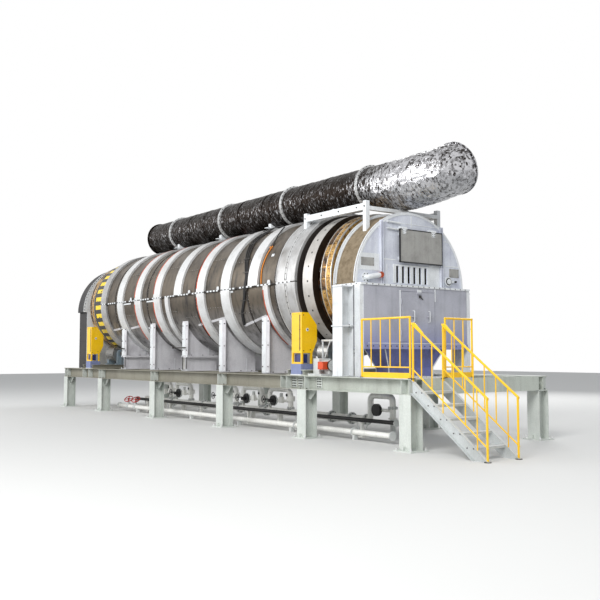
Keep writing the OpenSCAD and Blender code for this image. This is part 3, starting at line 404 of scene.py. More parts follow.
# %% Give each frame piece its finish
node_finish = {
    "alkyd_paint_frame": ("main_beams", "stringers", "cross_beams", "roller_beds"),
    "alkyd_paint_plate": ("beam_plates",),
    "alkyd_paint_column": ("columns", "base_plates"),
    "stainless_cladding": ("casing_lower", "casing_upper"),
    "zinc_hoop": ("hoops_lower", "hoops_upper"),
    "end_ring_zinc": ("end_rings",),
    "heat_dull_plate": ("end_walls", "split_flanges"),
    "grey_paint_saddle": ("saddles", "saddle_feet"),
    "rolled_plate_drum": ("drum_shell_feed", "drum_shell_middle", "drum_shell_discharge",
                          "tyre_pads"),
    "polished_ring_steel": ("tyre_near",),
    "striped_ring_enamel": ("tyre_far",),
    "black_paint_painted_shade": ("feed_hood",),
    "aluminium_foil_facing": ("duct_run", "duct_reducer", "duct_elbow"),
    "heat_stained_seal": ("seal_rings",),
    "turned_roller": ("roller_near_front", "roller_near_rear", "roller_far_front",
                      "roller_far_rear"),
    "blue_grey_bearing": ("bearing_blocks",),
    "safety_yellow_enamel": ("nip_guards", "platform_rails", "stair_rails"),
    "blue_stand_paint": ("guard_stands",),
    "motor_grey": ("drive_motor",),
    "orange_box_paint": ("motor_box",),
    "white_trim_paint": ("hood_rear_plate", "flap_brackets", "hood_ledge", "hood_legs",
                         "feed_hood_plate", "duct_frame", "duct_feet"),
    "brown_refractory_coat": ("hood_collar",),
    "cool_white_face": ("hood_face", "hood_ribs"),
    "cool_grey_hood": ("hood_box", "access_door"),
    "blue_hopper_paint": ("hood_hopper",),
    "flap_grey_sheet": ("hood_flap",),
    "hot_dip_zinc_stair": ("platform_deck", "stair_stringers", "stair_treads"),
    "white_gas_paint": ("gas_pipes",),
}


def smooth_by_angle(obj, degrees=35):
    """Round walls shade smoothly, and edges sharper than the angle stay crisp."""
    mesh = obj.data
    mesh.polygons.foreach_set("use_smooth", [True] * len(mesh.polygons))
    mesh.set_sharp_from_angle(angle=math.radians(degrees))


for name, members in node_finish.items():
    for member in members:
        nodes[member].data.materials.clear()
        nodes[member].data.materials.append(finishes[name])
dressed = {m for members in node_finish.values() for m in members}
print("nodes still plain:", sorted(set(nodes) - dressed))

# %% [markdown]
# Small pieces are gathered into one mesh per kind, such as all bolts of a flange. A few helpers
# draw into such a mesh: a block, a rod, a hexagon head, and a sector of a ring round the kiln's
# axis. A small bevel afterwards gives each edge the highlight that a real edge has.

# %% Helpers that draw into a mesh
CASING_R = 1.6
HOOP_R = 1.657
SHELL_R, SEAL_R = 1.3, 1.479
CASING_X0, CASING_X1 = -6.9375, 3.6625
ARCH_Z = 3.18
HOOD_R = 1.57
FACE_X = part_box("hood_face")[1].x
BOX_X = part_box("hood_box")[1].x - 0.03
DECK_Z = 1.3
TYRE_X = (3.9925, -7.3675)

def add_block(bm, low, high):
    """A closed box between two corners."""
    size = Vector(high) - Vector(low)
    middle = (Vector(high) + Vector(low)) / 2
    bmesh.ops.create_cube(bm, size=1, matrix=Matrix.Translation(middle) @ Matrix.Diagonal(
        size.to_4d()))
def add_plate(bm, x, out, y0, y1, z0, z1):
    """A flat piece that stands a little out of a wall facing +X."""
    add_block(bm, (x - 0.001, y0, z0), (x + out, y1, z1))


def add_pad(bm, x, y, half_x, half_y, z0, z1):
    """A block round an upright line, from one height to another."""
    add_block(bm, (x - half_x, y - half_y, z0), (x + half_x, y + half_y, z1))


def pair(centre, half):
    """Two places, one on each side of a centre."""
    return centre - half, centre + half
def skin(bm, rings, capped=True):
    """Faces from each ring of points to the next, with a cap at both ends."""
    for near, far in zip(rings, rings[1:]):
        for n in range(len(near)):
            m = (n + 1) % len(near)
            bm.faces.new((near[n], near[m], far[m], far[n]))
    if capped:
        bm.faces.new(rings[0][::-1])
        bm.faces.new(rings[-1])


def add_rod(bm, start, end, radius, sides=12, tip=None):
    """A round bar from one point to another, tapered when a second radius is given."""
    start, end = Vector(start), Vector(end)
    turn = (end - start).to_track_quat("Z", "Y").to_matrix().to_4x4()
    bmesh.ops.create_cone(bm, cap_ends=True, segments=sides, radius1=radius,
                          radius2=radius if tip is None else tip, depth=(end - start).length,
                          matrix=Matrix.Translation((start + end) / 2) @ turn)


def add_rod_x(bm, x0, x1, y, z, radius, sides=12, tip=None):
    """A round bar along X."""
    add_rod(bm, (x0, y, z), (x1, y, z), radius, sides, tip)


def add_rod_y(bm, x, y0, y1, z, radius, sides=12, tip=None):
    """A round bar along Y."""
    add_rod(bm, (x, y0, z), (x, y1, z), radius, sides, tip)


def add_rod_z(bm, x, y, z0, z1, radius, sides=12, tip=None):
    """An upright round bar."""
    add_rod(bm, (x, y, z0), (x, y, z1), radius, sides, tip)


def add_bolt(bm, place, normal, radius, head=None):
    """A hexagon head with a washer under it, standing on a surface."""
    place, normal = Vector(place), Vector(normal).normalized()
    head = head or radius * 1.1
    add_rod(bm, place - normal * 0.002, place + normal * radius * 0.3, radius * 1.5, 12)
    add_rod(bm, place + normal * radius * 0.2, place + normal * (radius * 0.3 + head),
            radius * 1.1, 6)

def add_bolts(bm, xs, ys, zs, normal, radius, head=None):
    """A bolt at every meeting of the given x, y and z places."""
    for place in product(xs, ys, zs):
        add_bolt(bm, place, normal, radius, head)


def circle(x, y, z, radius, count, first=0.0):
    """Points at equal angles on a circle that faces along X."""
    return [Vector((x, y + radius * math.cos(a), z + radius * math.sin(a)))
            for a in (math.radians(first + 360 * k / count) for k in range(count))]
def add_sector(bm, x0, x1, r0, r1, a0, a1, steps, centre_z=AXIS_Z):
    """A sector of a ring round the X axis, from angle a0 to a1 in degrees above +Y."""
    rings = []
    for k in range(steps + 1):
        angle = math.radians(a0 + (a1 - a0) * k / steps)
        c, s = math.cos(angle), math.sin(angle)
        rings.append([bm.verts.new((x, r * c, centre_z + r * s))
                      for x, r in ((x0, r0), (x1, r0), (x1, r1), (x0, r1))])
    full_turn = abs(a1 - a0) > 359.9
    skin(bm, rings, not full_turn)
    if full_turn:
        bmesh.ops.remove_doubles(bm, verts=rings[0] + rings[-1], dist=1e-5)


def polar(x, radius, degrees, centre_z=AXIS_Z):
    """A point at a radius and an angle round the X axis."""
    angle = math.radians(degrees)
    return Vector((x, radius * math.cos(angle), centre_z + radius * math.sin(angle)))


def outward(degrees):
    """The direction that points away from the X axis at an angle."""
    angle = math.radians(degrees)
    return Vector((0, math.cos(angle), math.sin(angle)))


print("drawing helpers ready")

# %% [markdown]
# A gathered mesh becomes one piece. It gets its finish, a bevel on its sharp edges and smooth
# shading, and it rides on the body that it is fixed to.

# %% Turn a mesh into a piece
pieces = []


def make_piece(name, bm, material, body="body", bevel=0.0, smooth=True):
    """Turns the gathered mesh into a piece that rides on a body."""
    bmesh.ops.recalc_face_normals(bm, faces=bm.faces)
    mesh = bpy.data.meshes.new(name)
    bm.to_mesh(mesh)
    bm.free()
    mesh.materials.append(finishes[material])
    obj = bpy.data.objects.new(name, mesh)
    scene.collection.objects.link(obj)
    if bevel:
        rounding = obj.modifiers.new("edges", "BEVEL")
        rounding.width = bevel
        rounding.segments = 2
        rounding.limit_method = "ANGLE"
        rounding.angle_limit = math.radians(50)
    if smooth:
        smooth_by_angle(obj)
    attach(obj, body)
    pieces.append((name, len(mesh.polygons)))
    print(name, len(mesh.polygons), "faces")


# %% [markdown]
# The casing is bolted together along its middle on both sides. Each bolt goes through the two
# flanges, so a head stands above and a nut below. Bright spacers sit between the bolts along the
# flange's edge. Bolts and spacers together make the line of black and white dashes that crosses
# the hoops in the photograph.

# %% Bolts of the split flange
bm, tabs = (bmesh.new() for _ in range(2))
PITCH, BOLT_Y, EDGE_Y = 0.155, 1.641, 1.656
count = int((CASING_X1 - CASING_X0 - 0.2) / PITCH)
for side in (-1, 1):
    for k in range(count + 1):
        for up in (-1, 1):
            add_bolt(bm, (CASING_X0 + 0.1 + k * PITCH, side * BOLT_Y, AXIS_Z + up * 0.012),
                     (0, 0, up), 0.011, 0.016)
    for k in range(count):
        if k % 5 != 2:
            add_pad(tabs, CASING_X0 + (k + 1) * PITCH, side * EDGE_Y, 0.042, 0.010,
                    *pair(AXIS_Z, 0.020))
make_piece("split_flange_bolts", bm, "dark_bolt_steel")
make_piece("split_flange_spacers", tabs, "white_trim_paint", bevel=0.002)

# %% [markdown]
# The casing's sheets meet in narrow raised bands. They are rolled strips riveted over the joint,
# darker than the hoops.

# %% Joint bands and rivets of the cladding
HOOP_PITCH = 1.24
hoop_x = [CASING_X1 - 0.47 - HOOP_PITCH * k for k in range(1, 8)]
bm, rivets = (bmesh.new() for _ in range(2))
for x in [CASING_X1 - s for s in (0.84, 2.02, 4.54, 7.38, 9.6)]:
    for a0, a1 in ((2, 178), (-178, -2)):
        add_sector(bm, x - 0.02, x + 0.02, CASING_R - 0.002, CASING_R + 0.012, a0, a1, 60)
    for k in range(120):
        angle = 1.5 + k * 3
        if 2 < angle % 180 < 178:
            for u in (-0.035, 0.035):
                p = polar(x + u, CASING_R - 0.001, angle)
                add_rod(rivets, p, p + outward(angle) * 0.005, 0.006, 8, 0.003)
make_piece("cladding_joint_bands", bm, "heat_dull_plate")
make_piece("cladding_rivets", rivets, "zinc_hoop")

# %% [markdown]
# At the discharge end a wide ring closes the casing. One row of bolts runs round it, and a thin
# flange stands at each edge.

# %% Bolt row and edge flanges of the end ring
bm, edges = (bmesh.new() for _ in range(2))
for k in range(80):
    angle = 2.25 + k * 4.5
    add_bolt(bm, polar(CASING_X1 - 0.36, HOOP_R - 0.001, angle), outward(angle), 0.010, 0.012)
for a0, a1 in ((1.5, 178.5), (-178.5, -1.5)):
    for x in (CASING_X1 - 0.715, CASING_X1 - 0.40, CASING_X1 - 0.325, CASING_X1 - 0.01):
        add_sector(edges, x - 0.005, x + 0.005, HOOP_R - 0.002, HOOP_R + 0.016, a0, a1, 60)
make_piece("end_ring_bolts", bm, "dark_bolt_steel")
make_piece("end_ring_flanges", edges, "zinc_hoop")

# %% [markdown]
# A few more helpers. A pipe follows a list of points, and a flat bar follows points that each
# have an outward direction, so both can run round the casing. Corners are rounded first, because
# a fitter bends conduit and flat bar over a former and never folds them.

# %% Helpers for pipes and flat bars


def rounded(points, radius, steps=5):
    """The same line with each inner corner turned into a short curve."""
    points = [Vector(p) for p in points]
    line = [points[0]]
    for before, corner, after in zip(points, points[1:], points[2:]):
        a = corner + (before - corner).normalized() * min(radius, (before - corner).length / 2)
        b = corner + (after - corner).normalized() * min(radius, (after - corner).length / 2)
        for k in range(steps + 1):
            t = k / steps
            line.append(a * (1 - t) ** 2 + corner * 2 * t * (1 - t) + b * t ** 2)
    return line + [points[-1]]


def add_pipe(bm, points, radius, sides=10):
    """A round pipe along a line of points, closed at both ends."""
    points = [Vector(p) for p in points]
    rings, side = [], None
    for k, point in enumerate(points):
        back = (point - points[k - 1]).normalized() if k else None
        on = (points[k + 1] - point).normalized() if k + 1 < len(points) else back
        along = ((back or on) + on).normalized()
        side = along.orthogonal() if side is None else side - along * side.dot(along)
        side.normalize()
        up = along.cross(side)
        rings.append([bm.verts.new(point + (side * math.cos(a) + up * math.sin(a)) * radius)
                      for a in (2 * math.pi * n / sides for n in range(sides))])
    skin(bm, rings)


def add_flat_bar(bm, points, outs, width, thick):
    """A flat bar along a line, lying with its back on the surface that outs point away from."""
    rings = []
    for k, point in enumerate(points):
        along = (Vector(points[min(k + 1, len(points) - 1)]) - Vector(points[max(k - 1, 0)]))
        out = Vector(outs[k])
        side = along.normalized().cross(out).normalized() * width / 2
        rings.append([bm.verts.new(Vector(point) + offset) for offset in
                      (-side, side, side + out * thick, -side + out * thick)])
    skin(bm, rings)


def on_casing(x, degrees, lift=0.0):
    """A point on the cladding; degrees are above the bolted flange on the walkway side."""
    return polar(x, CASING_R + lift, 180 - degrees)


def along_casing(stops, lift, bulge=0.0, step=3.0):
    """A line round the cladding, lifted over the bolted flange where it crosses it."""
    line = []
    for (x0, a0), (x1, a1) in zip(stops, stops[1:]):
        count = max(3, int(max(abs(a1 - a0), abs(x1 - x0) * 25) / step))
        for k in range(count):
            t = k / count
            a = a0 + (a1 - a0) * t
            line.append((x0 + (x1 - x0) * t, a, lift + bulge * max(0, 1 - abs(a) / 8)))
    x, a = stops[-1]
    return line + [(x, a, lift + bulge * max(0, 1 - abs(a) / 8))]


def lay_on_casing(bm, line, width, thick):
    """A flat bar on the cladding, along a line of x, degrees and lift."""
    add_flat_bar(bm, [on_casing(*p) for p in line], [outward(180 - p[1]) for p in line], width,
                 thick)


print("helpers ready")

# %% [markdown]
# The foil skin follows the whole duct: the straight run, the widening piece, and the elbow. Each
# ring of points is pushed out by crumple noise: sharp ridges about 20 cm apart with finer folds
# between. The skin stays faceted, since each flat patch of foil mirrors one direction.

# %% Foil skin of the duct
DUCT_X0, DUCT_Z = -5.9575, 5.5
RUN_L, WIDEN_L, LEAD_L, BEND_R, TAIL_L = 10.31, 0.70, 0.40, 0.65, 0.265
THIN_R, THICK_R = 0.46, 0.54
TILT = math.radians(22)
ACROSS = Vector((0, math.cos(TILT), math.sin(TILT)))
NORMAL = Vector((0, -math.sin(TILT), math.cos(TILT)))
ALONG = Vector((1, 0, 0))


def duct_place(s):
    """Centre, direction, sideways direction and radius at a distance along the duct."""
    if s <= RUN_L:
        return Vector((DUCT_X0 + s, 0, DUCT_Z)), ALONG, ACROSS, THIN_R
    if s <= RUN_L + WIDEN_L:
        t = (s - RUN_L) / WIDEN_L
        return (Vector((DUCT_X0 + s, 0, DUCT_Z - 0.1 * t)), ALONG, ACROSS,
                THIN_R + (THICK_R - THIN_R) * t)
    start = Vector((DUCT_X0 + RUN_L + WIDEN_L, 0, DUCT_Z - 0.1))
    s -= RUN_L + WIDEN_L
    if s <= LEAD_L:
        return start + ALONG * s, ALONG, ACROSS, THICK_R
    s -= LEAD_L
    turn = min(s / BEND_R, math.pi / 2)
    centre = (start + ALONG * (LEAD_L + BEND_R * math.sin(turn))
              + ACROSS * BEND_R * (1 - math.cos(turn)))
    ahead = ALONG * math.cos(turn) + ACROSS * math.sin(turn)
    sideways = ACROSS * math.cos(turn) - ALONG * math.sin(turn)
    return centre + ahead * max(0.0, s - BEND_R * math.pi / 2), ahead, sideways, THICK_R


def crumple(point, strength):
    """How far the foil stands off the wool at a point, in metres."""
    squeezed = Vector((point.x * 2.0, point.y, point.z))
    ridge = 1 - min(1.0, 2.6 * abs(noise.noise(squeezed * 4.0)))
    fold = 1 - min(1.0, 3.0 * abs(noise.noise(squeezed * 8.5 + Vector((7, 3, 1)))))
    swell = 0.5 + 0.5 * noise.noise(point * 1.9 + Vector((2, 9, 4)))
    return 0.005 + strength * (0.42 * ridge + 0.28 * fold + 0.30 * swell)


bm = bmesh.new()
ROUND = 60
total = RUN_L + WIDEN_L + LEAD_L + BEND_R * math.pi / 2 + TAIL_L
rows = int(total / 0.048)
rings = []
for k in range(rows + 1):
    s = total * k / rows
    loop = []
    for n in range(ROUND):
        turn = 2 * math.pi * (n + 0.5 * (k % 2)) / ROUND
        shift = 0.4 * noise.noise(Vector((s * 9, n * 1.7, 5.0)))
        centre, ahead, sideways, radius = duct_place(min(max(s + 0.05 * shift, 0), total)
                                                     if 0 < k < rows else s)
        out = sideways * math.cos(turn) + NORMAL * math.sin(turn)
        strength = 0.022 if centre.x < 4.9 else 0.032
        loop.append(bm.verts.new(centre + out * (radius + crumple(centre + out * radius,
                                                                  strength))))
    rings.append(loop)
for k, (near, far) in enumerate(zip(rings, rings[1:])):
    for n in range(ROUND):
        m = (n + 1) % ROUND
        if k % 2:
            bm.faces.new((near[n], near[m], far[m]))
            bm.faces.new((near[n], far[m], far[n]))
        else:
            bm.faces.new((near[n], near[m], far[n]))
            bm.faces.new((near[m], far[m], far[n]))
make_piece("duct_foil_skin", bm, "aluminium_foil_facing", smooth=False)

# %% [markdown]
# The duct was made in lengths of about three metres. Each joint is a pair of angle rings, bolted
# together through their standing legs. Between them thin straps hold the foil, each pulled tight
# by one screw.

# %% Flange pairs and straps of the duct
bm, straps, screws = (bmesh.new() for _ in range(3))
for x in (-4.45, -1.53, 1.47, 4.385):
    for u in (-0.030, 0.014):
        add_sector(bm, x + u, x + u + 0.016, THIN_R - 0.005, THIN_R + 0.060, 0, 360, 72, DUCT_Z)
    for k in range(28):
        p = polar(x, THIN_R + 0.046, k * 360 / 28, DUCT_Z)
        add_rod(screws, p - ALONG * 0.048, p + ALONG * 0.048, 0.007, 6)
        add_rod(screws, p - ALONG * 0.042, p - ALONG * 0.030, 0.012, 6)
        add_rod(screws, p + ALONG * 0.030, p + ALONG * 0.042, 0.012, 6)
for x in (-3.4, -2.5, -0.6, 0.55, 0.9, 2.3, 3.1):
    add_sector(straps, x - 0.012, x + 0.012, THIN_R + 0.010, THIN_R + 0.024, 0, 360, 72, DUCT_Z)
    p = polar(x, THIN_R + 0.026, 205, DUCT_Z)
    add_block(straps, p - Vector((0.03, 0.012, 0.02)), p + Vector((0.03, 0.012, 0.02)))
    add_rod(screws, p - Vector((0, 0.005, 0.045)), p + Vector((0, -0.005, 0.045)), 0.006, 8)
end, ahead, sideways, radius = duct_place(total)
for k in range(24):
    turn = 2 * math.pi * k / 24
    place = end + (sideways * math.cos(turn) + NORMAL * math.sin(turn)) * (THICK_R + 0.022)
    add_bolt(screws, place + ahead * 0.004, -ahead, 0.009, 0.012)
make_piece("duct_flange_rings", bm, "zinc_hoop", bevel=0.002)
make_piece("duct_straps", straps, "aluminium_foil_facing")
make_piece("duct_flange_screws", screws, "dark_bolt_steel")

# %% [markdown]
# The duct's cradles stand on the hoops. Each has a bolted lug on both sides and a strap over the
# duct's lower half, so that the duct can slide a little as it warms.

# %% Lugs of the duct's feet and bolts of its frame
bm, screws = (bmesh.new() for _ in range(2))
for side in (-1, 1):
    for x in (-4.2475, -1.7675, 0.7125, 3.3025):
        add_pad(bm, x, side * 0.36, 0.07, 0.055, 5.0075, 5.022)
        add_bolts(screws, pair(x, 0.04), (side * 0.37,), (5.021,), (0, 0, 1), 0.011)
    for x in (3.3025, 5.3525):
        add_bolts(screws, pair(x, 0.035), pair(side * 1.05, 0.035), (4.898,), (0, 0, 1), 0.009)
    add_bolts(screws, (3.3, 3.9, 4.5, 5.1, 5.35), (side * 1.1,), (4.83,), (0, side, 0), 0.012)
make_piece("duct_feet_bolts", screws, "dark_bolt_steel")
make_piece("duct_feet_lugs", bm, "white_trim_paint", bevel=0.002)

# %% [markdown]
# Steel flat bars, bolted slantwise over the lower cladding, brace its sheets. They stop at the
# hoops. Short laps run along the casing where one sheet covers the next, and keep the cladding
# from looking like one turned surface.

# %% Slanted braces and laps of the cladding
bm, laps, screws = (bmesh.new() for _ in range(3))
braces = (((1.15, -34), (2.25, -26)), ((-1.05, -31), (-0.74, -29.5)), ((-0.31, -28), (0.45, -25)),
          ((-4.02, -31), (-3.55, -30)), ((-5.2, -30), (-4.5, -28)), ((-6.5, -31), (-5.75, -29)))
for stops in braces:
    line = along_casing(stops, 0.001)
    lay_on_casing(bm, line, 0.06, 0.010)
    for p in line[::2]:
        add_bolt(screws, on_casing(p[0], p[1], 0.010), outward(180 - p[1]), 0.009)
hoop_edges = [(x - 0.2, x + 0.2) for x in hoop_x]
bays = [(hoop_edges[k + 1][1] + 0.015, hoop_edges[k][0] - 0.015) for k in range(6)]
for n, (x0, x1) in enumerate(bays):
    for a in (24, 58, 92, 126, 158, -22, -60, -100, -140, -165):
        a += (n % 2) * 7
        lay_on_casing(laps, along_casing(((x0, a), (x1, a)), -0.001, step=9), 0.05, 0.005)
        for k in range(7):
            p = on_casing(x0 + 0.04 + (x1 - x0 - 0.08) * k / 6, a, 0.003)
            add_rod(screws, p, p + outward(180 - a) * 0.005, 0.007, 8, 0.004)
make_piece("cladding_braces", bm, "grey_paint_saddle", bevel=0.002)
make_piece("cladding_laps", laps, "stainless_cladding")
make_piece("cladding_screws", screws, "zinc_hoop")

# %% [markdown]
# Burner wiring runs down the casing in fixed conduit: three dark sheathed lines, clipped side by
# side, from the top of the casing over the bolted flange to the lower cladding. Another line
# leaves them at the top and bridges a hoop to the orange line of one probe. They are fixed to
# the cladding, so they are rigid pieces here.

# %% Clipped lines on the casing
bm, thin, clips = (bmesh.new() for _ in range(3))
bundle = ((1.15, 62), (1.2, 44), (1.42, 26), (1.62, 10), (1.64, 0), (1.5, -11), (1.28, -22),
          (1.16, -33))
for u in (-1, 0, 1):
    line = along_casing([(x + u * (0.032 + max(a, 0) * 0.0015), a) for x, a in bundle], 0.018,
                        0.05)
    add_pipe(bm, [on_casing(*p) for p in line], 0.014)
link = [(x, a, 0.078) for x, a in ((1.13, 62), (1.35, 68), (1.72, 69), (2.06, 62), (2.24, 50))]
add_pipe(bm, rounded([on_casing(*p) for p in link] + [on_casing(2.30, 36, 0.014)], 0.12), 0.013)
add_pipe(bm, rounded([on_casing(1.07, 62, 0.018), on_casing(1.20, 72, 0.06),
                      on_casing(1.42, 66, 0.07), on_casing(1.24, 57, 0.018)], 0.10), 0.013)
for x, a in ((1.16, 56), (1.2, 44), (1.42, 26), (1.58, 13), (1.5, -11), (1.28, -22)):
    lay_on_casing(clips, ((x - 0.15, a, 0.030), (x + 0.15, a, 0.030)), 0.018, 0.004)
    for u in (-0.144, 0.144):
        p = on_casing(x + u, a, -0.002)
        add_rod(clips, p, p + outward(180 - a) * 0.036, 0.006, 8)
line = along_casing(((2.30, 36), (2.25, 26), (2.23, 14), (2.27, 1)), 0.014)
add_pipe(thin, [on_casing(*p) for p in line], 0.013, 8)
p = on_casing(2.28, 34, 0)
add_rod(thin, p, p + outward(146) * 0.05, 0.022, 12)
make_piece("casing_conduits", bm, "black_rubber_and_painted_shade")
make_piece("casing_probe_line", thin, "orange_sheath")
make_piece("casing_conduit_clips", clips, "dark_bolt_steel", bevel=0.001)

# %% [markdown]
# The sheet hoops came primed, and some edges still show the orange primer. White lugs with a
# hole stand on the bolted flange, with a short white guide bar beside each. They were used to
# lift the upper half. A small bare plate marks the middle bay.

# %% Primed hoop edges, lifting lugs and guide bars
bm, lugs = (bmesh.new() for _ in range(2))
for k, (a0, a1) in ((3, (4, 84)), (5, (4, 70)), (6, (3, 88))):
    x = hoop_x[k - 1] - 0.2
    add_sector(bm, x - 0.006, x + 0.034, HOOP_R - 0.03, HOOP_R + 0.003, 180 - a1, 180 - a0, 40)
    add_sector(bm, x - 0.006, x + 0.034, HOOP_R - 0.03, HOOP_R + 0.003, 184, 180 + a1 * 0.5, 40)
x = hoop_x[0] + 0.54 - 0.1
add_sector(bm, x - 0.006, x + 0.030, HOOP_R - 0.03, HOOP_R + 0.003, 184, 236, 30)
for x in (-4.75, -1.15, 0.33, 2.6):
    for side in (-1, 1):
        z = AXIS_Z + 0.011
        loop = [(x - 0.05, z), (x + 0.05, z), (x + 0.05, z + 0.06), (x + 0.03, z + 0.095),
                (x - 0.03, z + 0.095), (x - 0.05, z + 0.06)]
        skin(lugs, [[lugs.verts.new((u, y, w)) for u, w in loop]
                    for y in (side * 1.615, side * 1.635)])
        eye = Vector((x, side * 1.625, z + 0.055))
        add_rod(lugs, eye - Vector((0, 0.014, 0)), eye + Vector((0, 0.014, 0)), 0.026, 16)
for x0 in (-5.4, 0.42, -3.72):
    lay_on_casing(lugs, along_casing(((x0, -2.4), (x0 + 0.6, -2.4)), 0.0), 0.045, 0.012)
lay_on_casing(lugs, along_casing(((2.45, 26), (2.56, 26)), 0.0), 0.07, 0.004)
make_piece("hoop_primed_edges", bm, "orange_primer")
make_piece("casing_lugs", lugs, "white_trim_paint", bevel=0.002)

# %% [markdown]
# The saddles' outer flanges take the knocks, so they were given a cover plate and a fresh white
# coat. A white angle runs along each foot. Anchor bolts hold the fixed saddles, and the sliding
# ones move on clips over their feet.

# %% Saddle cover plates, angles and bolts
bm, screws = (bmesh.new() for _ in range(2))
SADDLE_X = [CASING_X1 - 1.45 - 1.95 * k for k in range(5)]
SLIDING = (2, 4)
top = AXIS_Z - math.sqrt(CASING_R ** 2 - 1.44 ** 2) - 0.03
for k, x in enumerate(SADDLE_X):
    foot = 1.70 if k in SLIDING else DECK_Z
    for side in (-1, 1):
        add_pad(bm, x - 0.072, side * 1.443, 0.078, 0.004, foot + 0.02, top - 0.01)
        add_pad(bm, x + 0.076, side * 1.45, 0.07, 0.012, foot + 0.02, foot + 0.045)
        add_bolts(screws, pair(x, 0.11), (side * 0.62, side * 0.95, side * 1.3), (foot + 0.02,),
                  (0, 0, 1), 0.014)
        add_bolts(screws, pair(x, 0.11), (side * 1.447,), (foot + 0.16, (foot + top) / 2,
                  top - 0.10), (0, side, 0), 0.010)
        for u in pair(x, 0.075):
            add_pad(bm, u, side * 0.75, 0.005, 0.005, foot + 0.02, foot + 0.35)
        if k in SLIDING:
            for z, u in product((DECK_Z + 0.006, 1.672), pair(x, 0.13)):
                add_pad(bm, u, side * 1.45, 0.018, 0.014, z, z + 0.045)
            for u in pair(x, 0.105):
                add_rod_z(screws, u, side * 1.452, DECK_Z + 0.03, 1.69, 0.010, 10)
make_piece("saddle_cover_plates", bm, "white_trim_paint", bevel=0.002)
make_piece("saddle_bolts", screws, "dark_bolt_steel")

# %% [markdown]
# Long grease rods with a knob reach from the walkway under the casing to the sliding feet.

# %% Grease rods by the sliding feet
bm = bmesh.new()
for x in (SADDLE_X[2], SADDLE_X[4]):
    for side in (-1, 1):
        add_rod_x(bm, x - 0.55, x + 0.16, side * 1.50, 1.93, 0.012, 10)
        add_rod_x(bm, x - 0.60, x - 0.55, side * 1.50, 1.93, 0.026, 12)
        add_rod_y(bm, x, side * 1.44, side * 1.52, 1.93, 0.018, 10)
make_piece("grease_rods", bm, "dark_bolt_steel", bevel=0.002)

# %% [markdown]
# The seal between drum and hood is a ring of overlapping steel leaves. They are cut singly and
# screwed on, so there are fine dark joints between them, and heat has stained each one a little
# differently. A clamping band holds each row. All of it turns with the drum.

# %% Seal leaves, clamping bands and screws
draw = random.Random(5)
golden, stained, bands, screws = (bmesh.new() for _ in range(4))
SEALS = ((4.3825, 4.7225), (-8.1975, -7.8575))
for x0, x1 in SEALS:
    for k in range(36):
        a = k * 10
        for u0, u1, lift, share in ((x0 + 0.005, x0 + 0.165, 0.010, 0.6),
                                    (x0 + 0.175, x1 - 0.005, 0.014, 0.12)):
            leaves = stained if draw.random() < share else golden
            add_sector(leaves, u0, u1, SEAL_R - 0.001, SEAL_R + 0.001 + lift, a + 0.5, a + 9.4, 3)
            for v in (2.2, 7.6):
                p = polar((u0 + u1) / 2, SEAL_R + lift, a + v)
                add_rod(screws, p, p + outward(a + v) * 0.009, 0.011, 6)
    for u in (x0 - 0.004, x0 + 0.166, x1 - 0.010):
        add_sector(bands, u, u + 0.013, SEAL_R - 0.009, SEAL_R + 0.024, 0, 360, 120)
make_piece("seal_leaves", golden, "heat_stained_seal", "drum")
make_piece("seal_leaves_stained", stained, "burnt_seal", "drum")
make_piece("seal_bands", bands, "ground_steel_ring", "drum")
make_piece("seal_screws", screws, "dark_bolt_steel", "drum")

# %% [markdown]
# A riding ring sits loose on the shell, so stop blocks are welded to the shell on both sides of
# it. Each block has a bevelled nose. The thick seam weld of the shell shows beside them. A daub
# of yellow paint on the shell is the mark from which the turns are counted.

# %% Stop blocks of the riding rings and weld seams of the drum
bm, welds = (bmesh.new() for _ in range(2))
for x0, x1 in ((3.8125, 4.1725), (-7.6475, -7.0875)):
    for k in range(24):
        a = k * 15 + 4
        for face, way in ((x0, -1), (x1, 1)):
            u0, u1 = sorted((face + way * 0.001, face + way * 0.026))
            add_sector(bm, u0, u1, SHELL_R + 0.002, SHELL_R + 0.095, a, a + 3.6, 2)
for x in (4.86, 4.30, 3.745, -7.02, -7.74, -8.28):
    add_sector(welds, x - 0.007, x + 0.007, SHELL_R - 0.002, SHELL_R + 0.005, 0, 360, 120)
make_piece("ring_stop_blocks", bm, "dark_bolt_steel", "drum", bevel=0.002)
make_piece("drum_weld_seams", welds, "heat_dull_plate", "drum")
daub = bmesh.new()
add_sector(daub, 4.20, 4.33, SHELL_R - 0.001, SHELL_R + 0.0025, 196, 202, 4)
make_piece("drum_paint_daub", daub, "safety_yellow_enamel", "drum")

# %% [markdown]
# Each bearing block has a split cap with four bolts, a grease nipple on top, and an end cover
# over the shaft, screwed on. The shafts' bare ends turn inside the covers.

# %% Bearing caps, nipples and foot bolts
bm, screws = (bmesh.new() for _ in range(2))
ROLLER_Y, ROLLER_Z = 0.9052, 1.7821
for centre, wide in zip(TYRE_X, (0.36, 0.56)):
    half = wide / 2 + 0.085
    for y in (-ROLLER_Y, ROLLER_Y):
        for mid, way in ((centre - half, -1), (centre + half, 1)):
            add_pad(bm, mid, y, 0.064, 0.14, ROLLER_Z - 0.012, ROLLER_Z + 0.012)
            add_bolts(screws, pair(mid, 0.035), pair(y, 0.128), (ROLLER_Z + 0.011,), (0, 0, 1),
                      0.010)
            add_bolts(screws, pair(mid, 0.035), pair(y, 0.175), (1.459,), (0, 0, 1), 0.013)
            add_rod_z(bm, mid, y, ROLLER_Z + 0.126, ROLLER_Z + 0.150, 0.012, 8, 0.006)
            for p in circle(mid + way * 0.061, y, ROLLER_Z, 0.105, 6, 30):
                add_bolt(screws, p, (way, 0, 0), 0.008)
make_piece("bearing_caps", bm, "blue_grey_bearing", bevel=0.003)
make_piece("bearing_bolts", screws, "dark_bolt_steel")

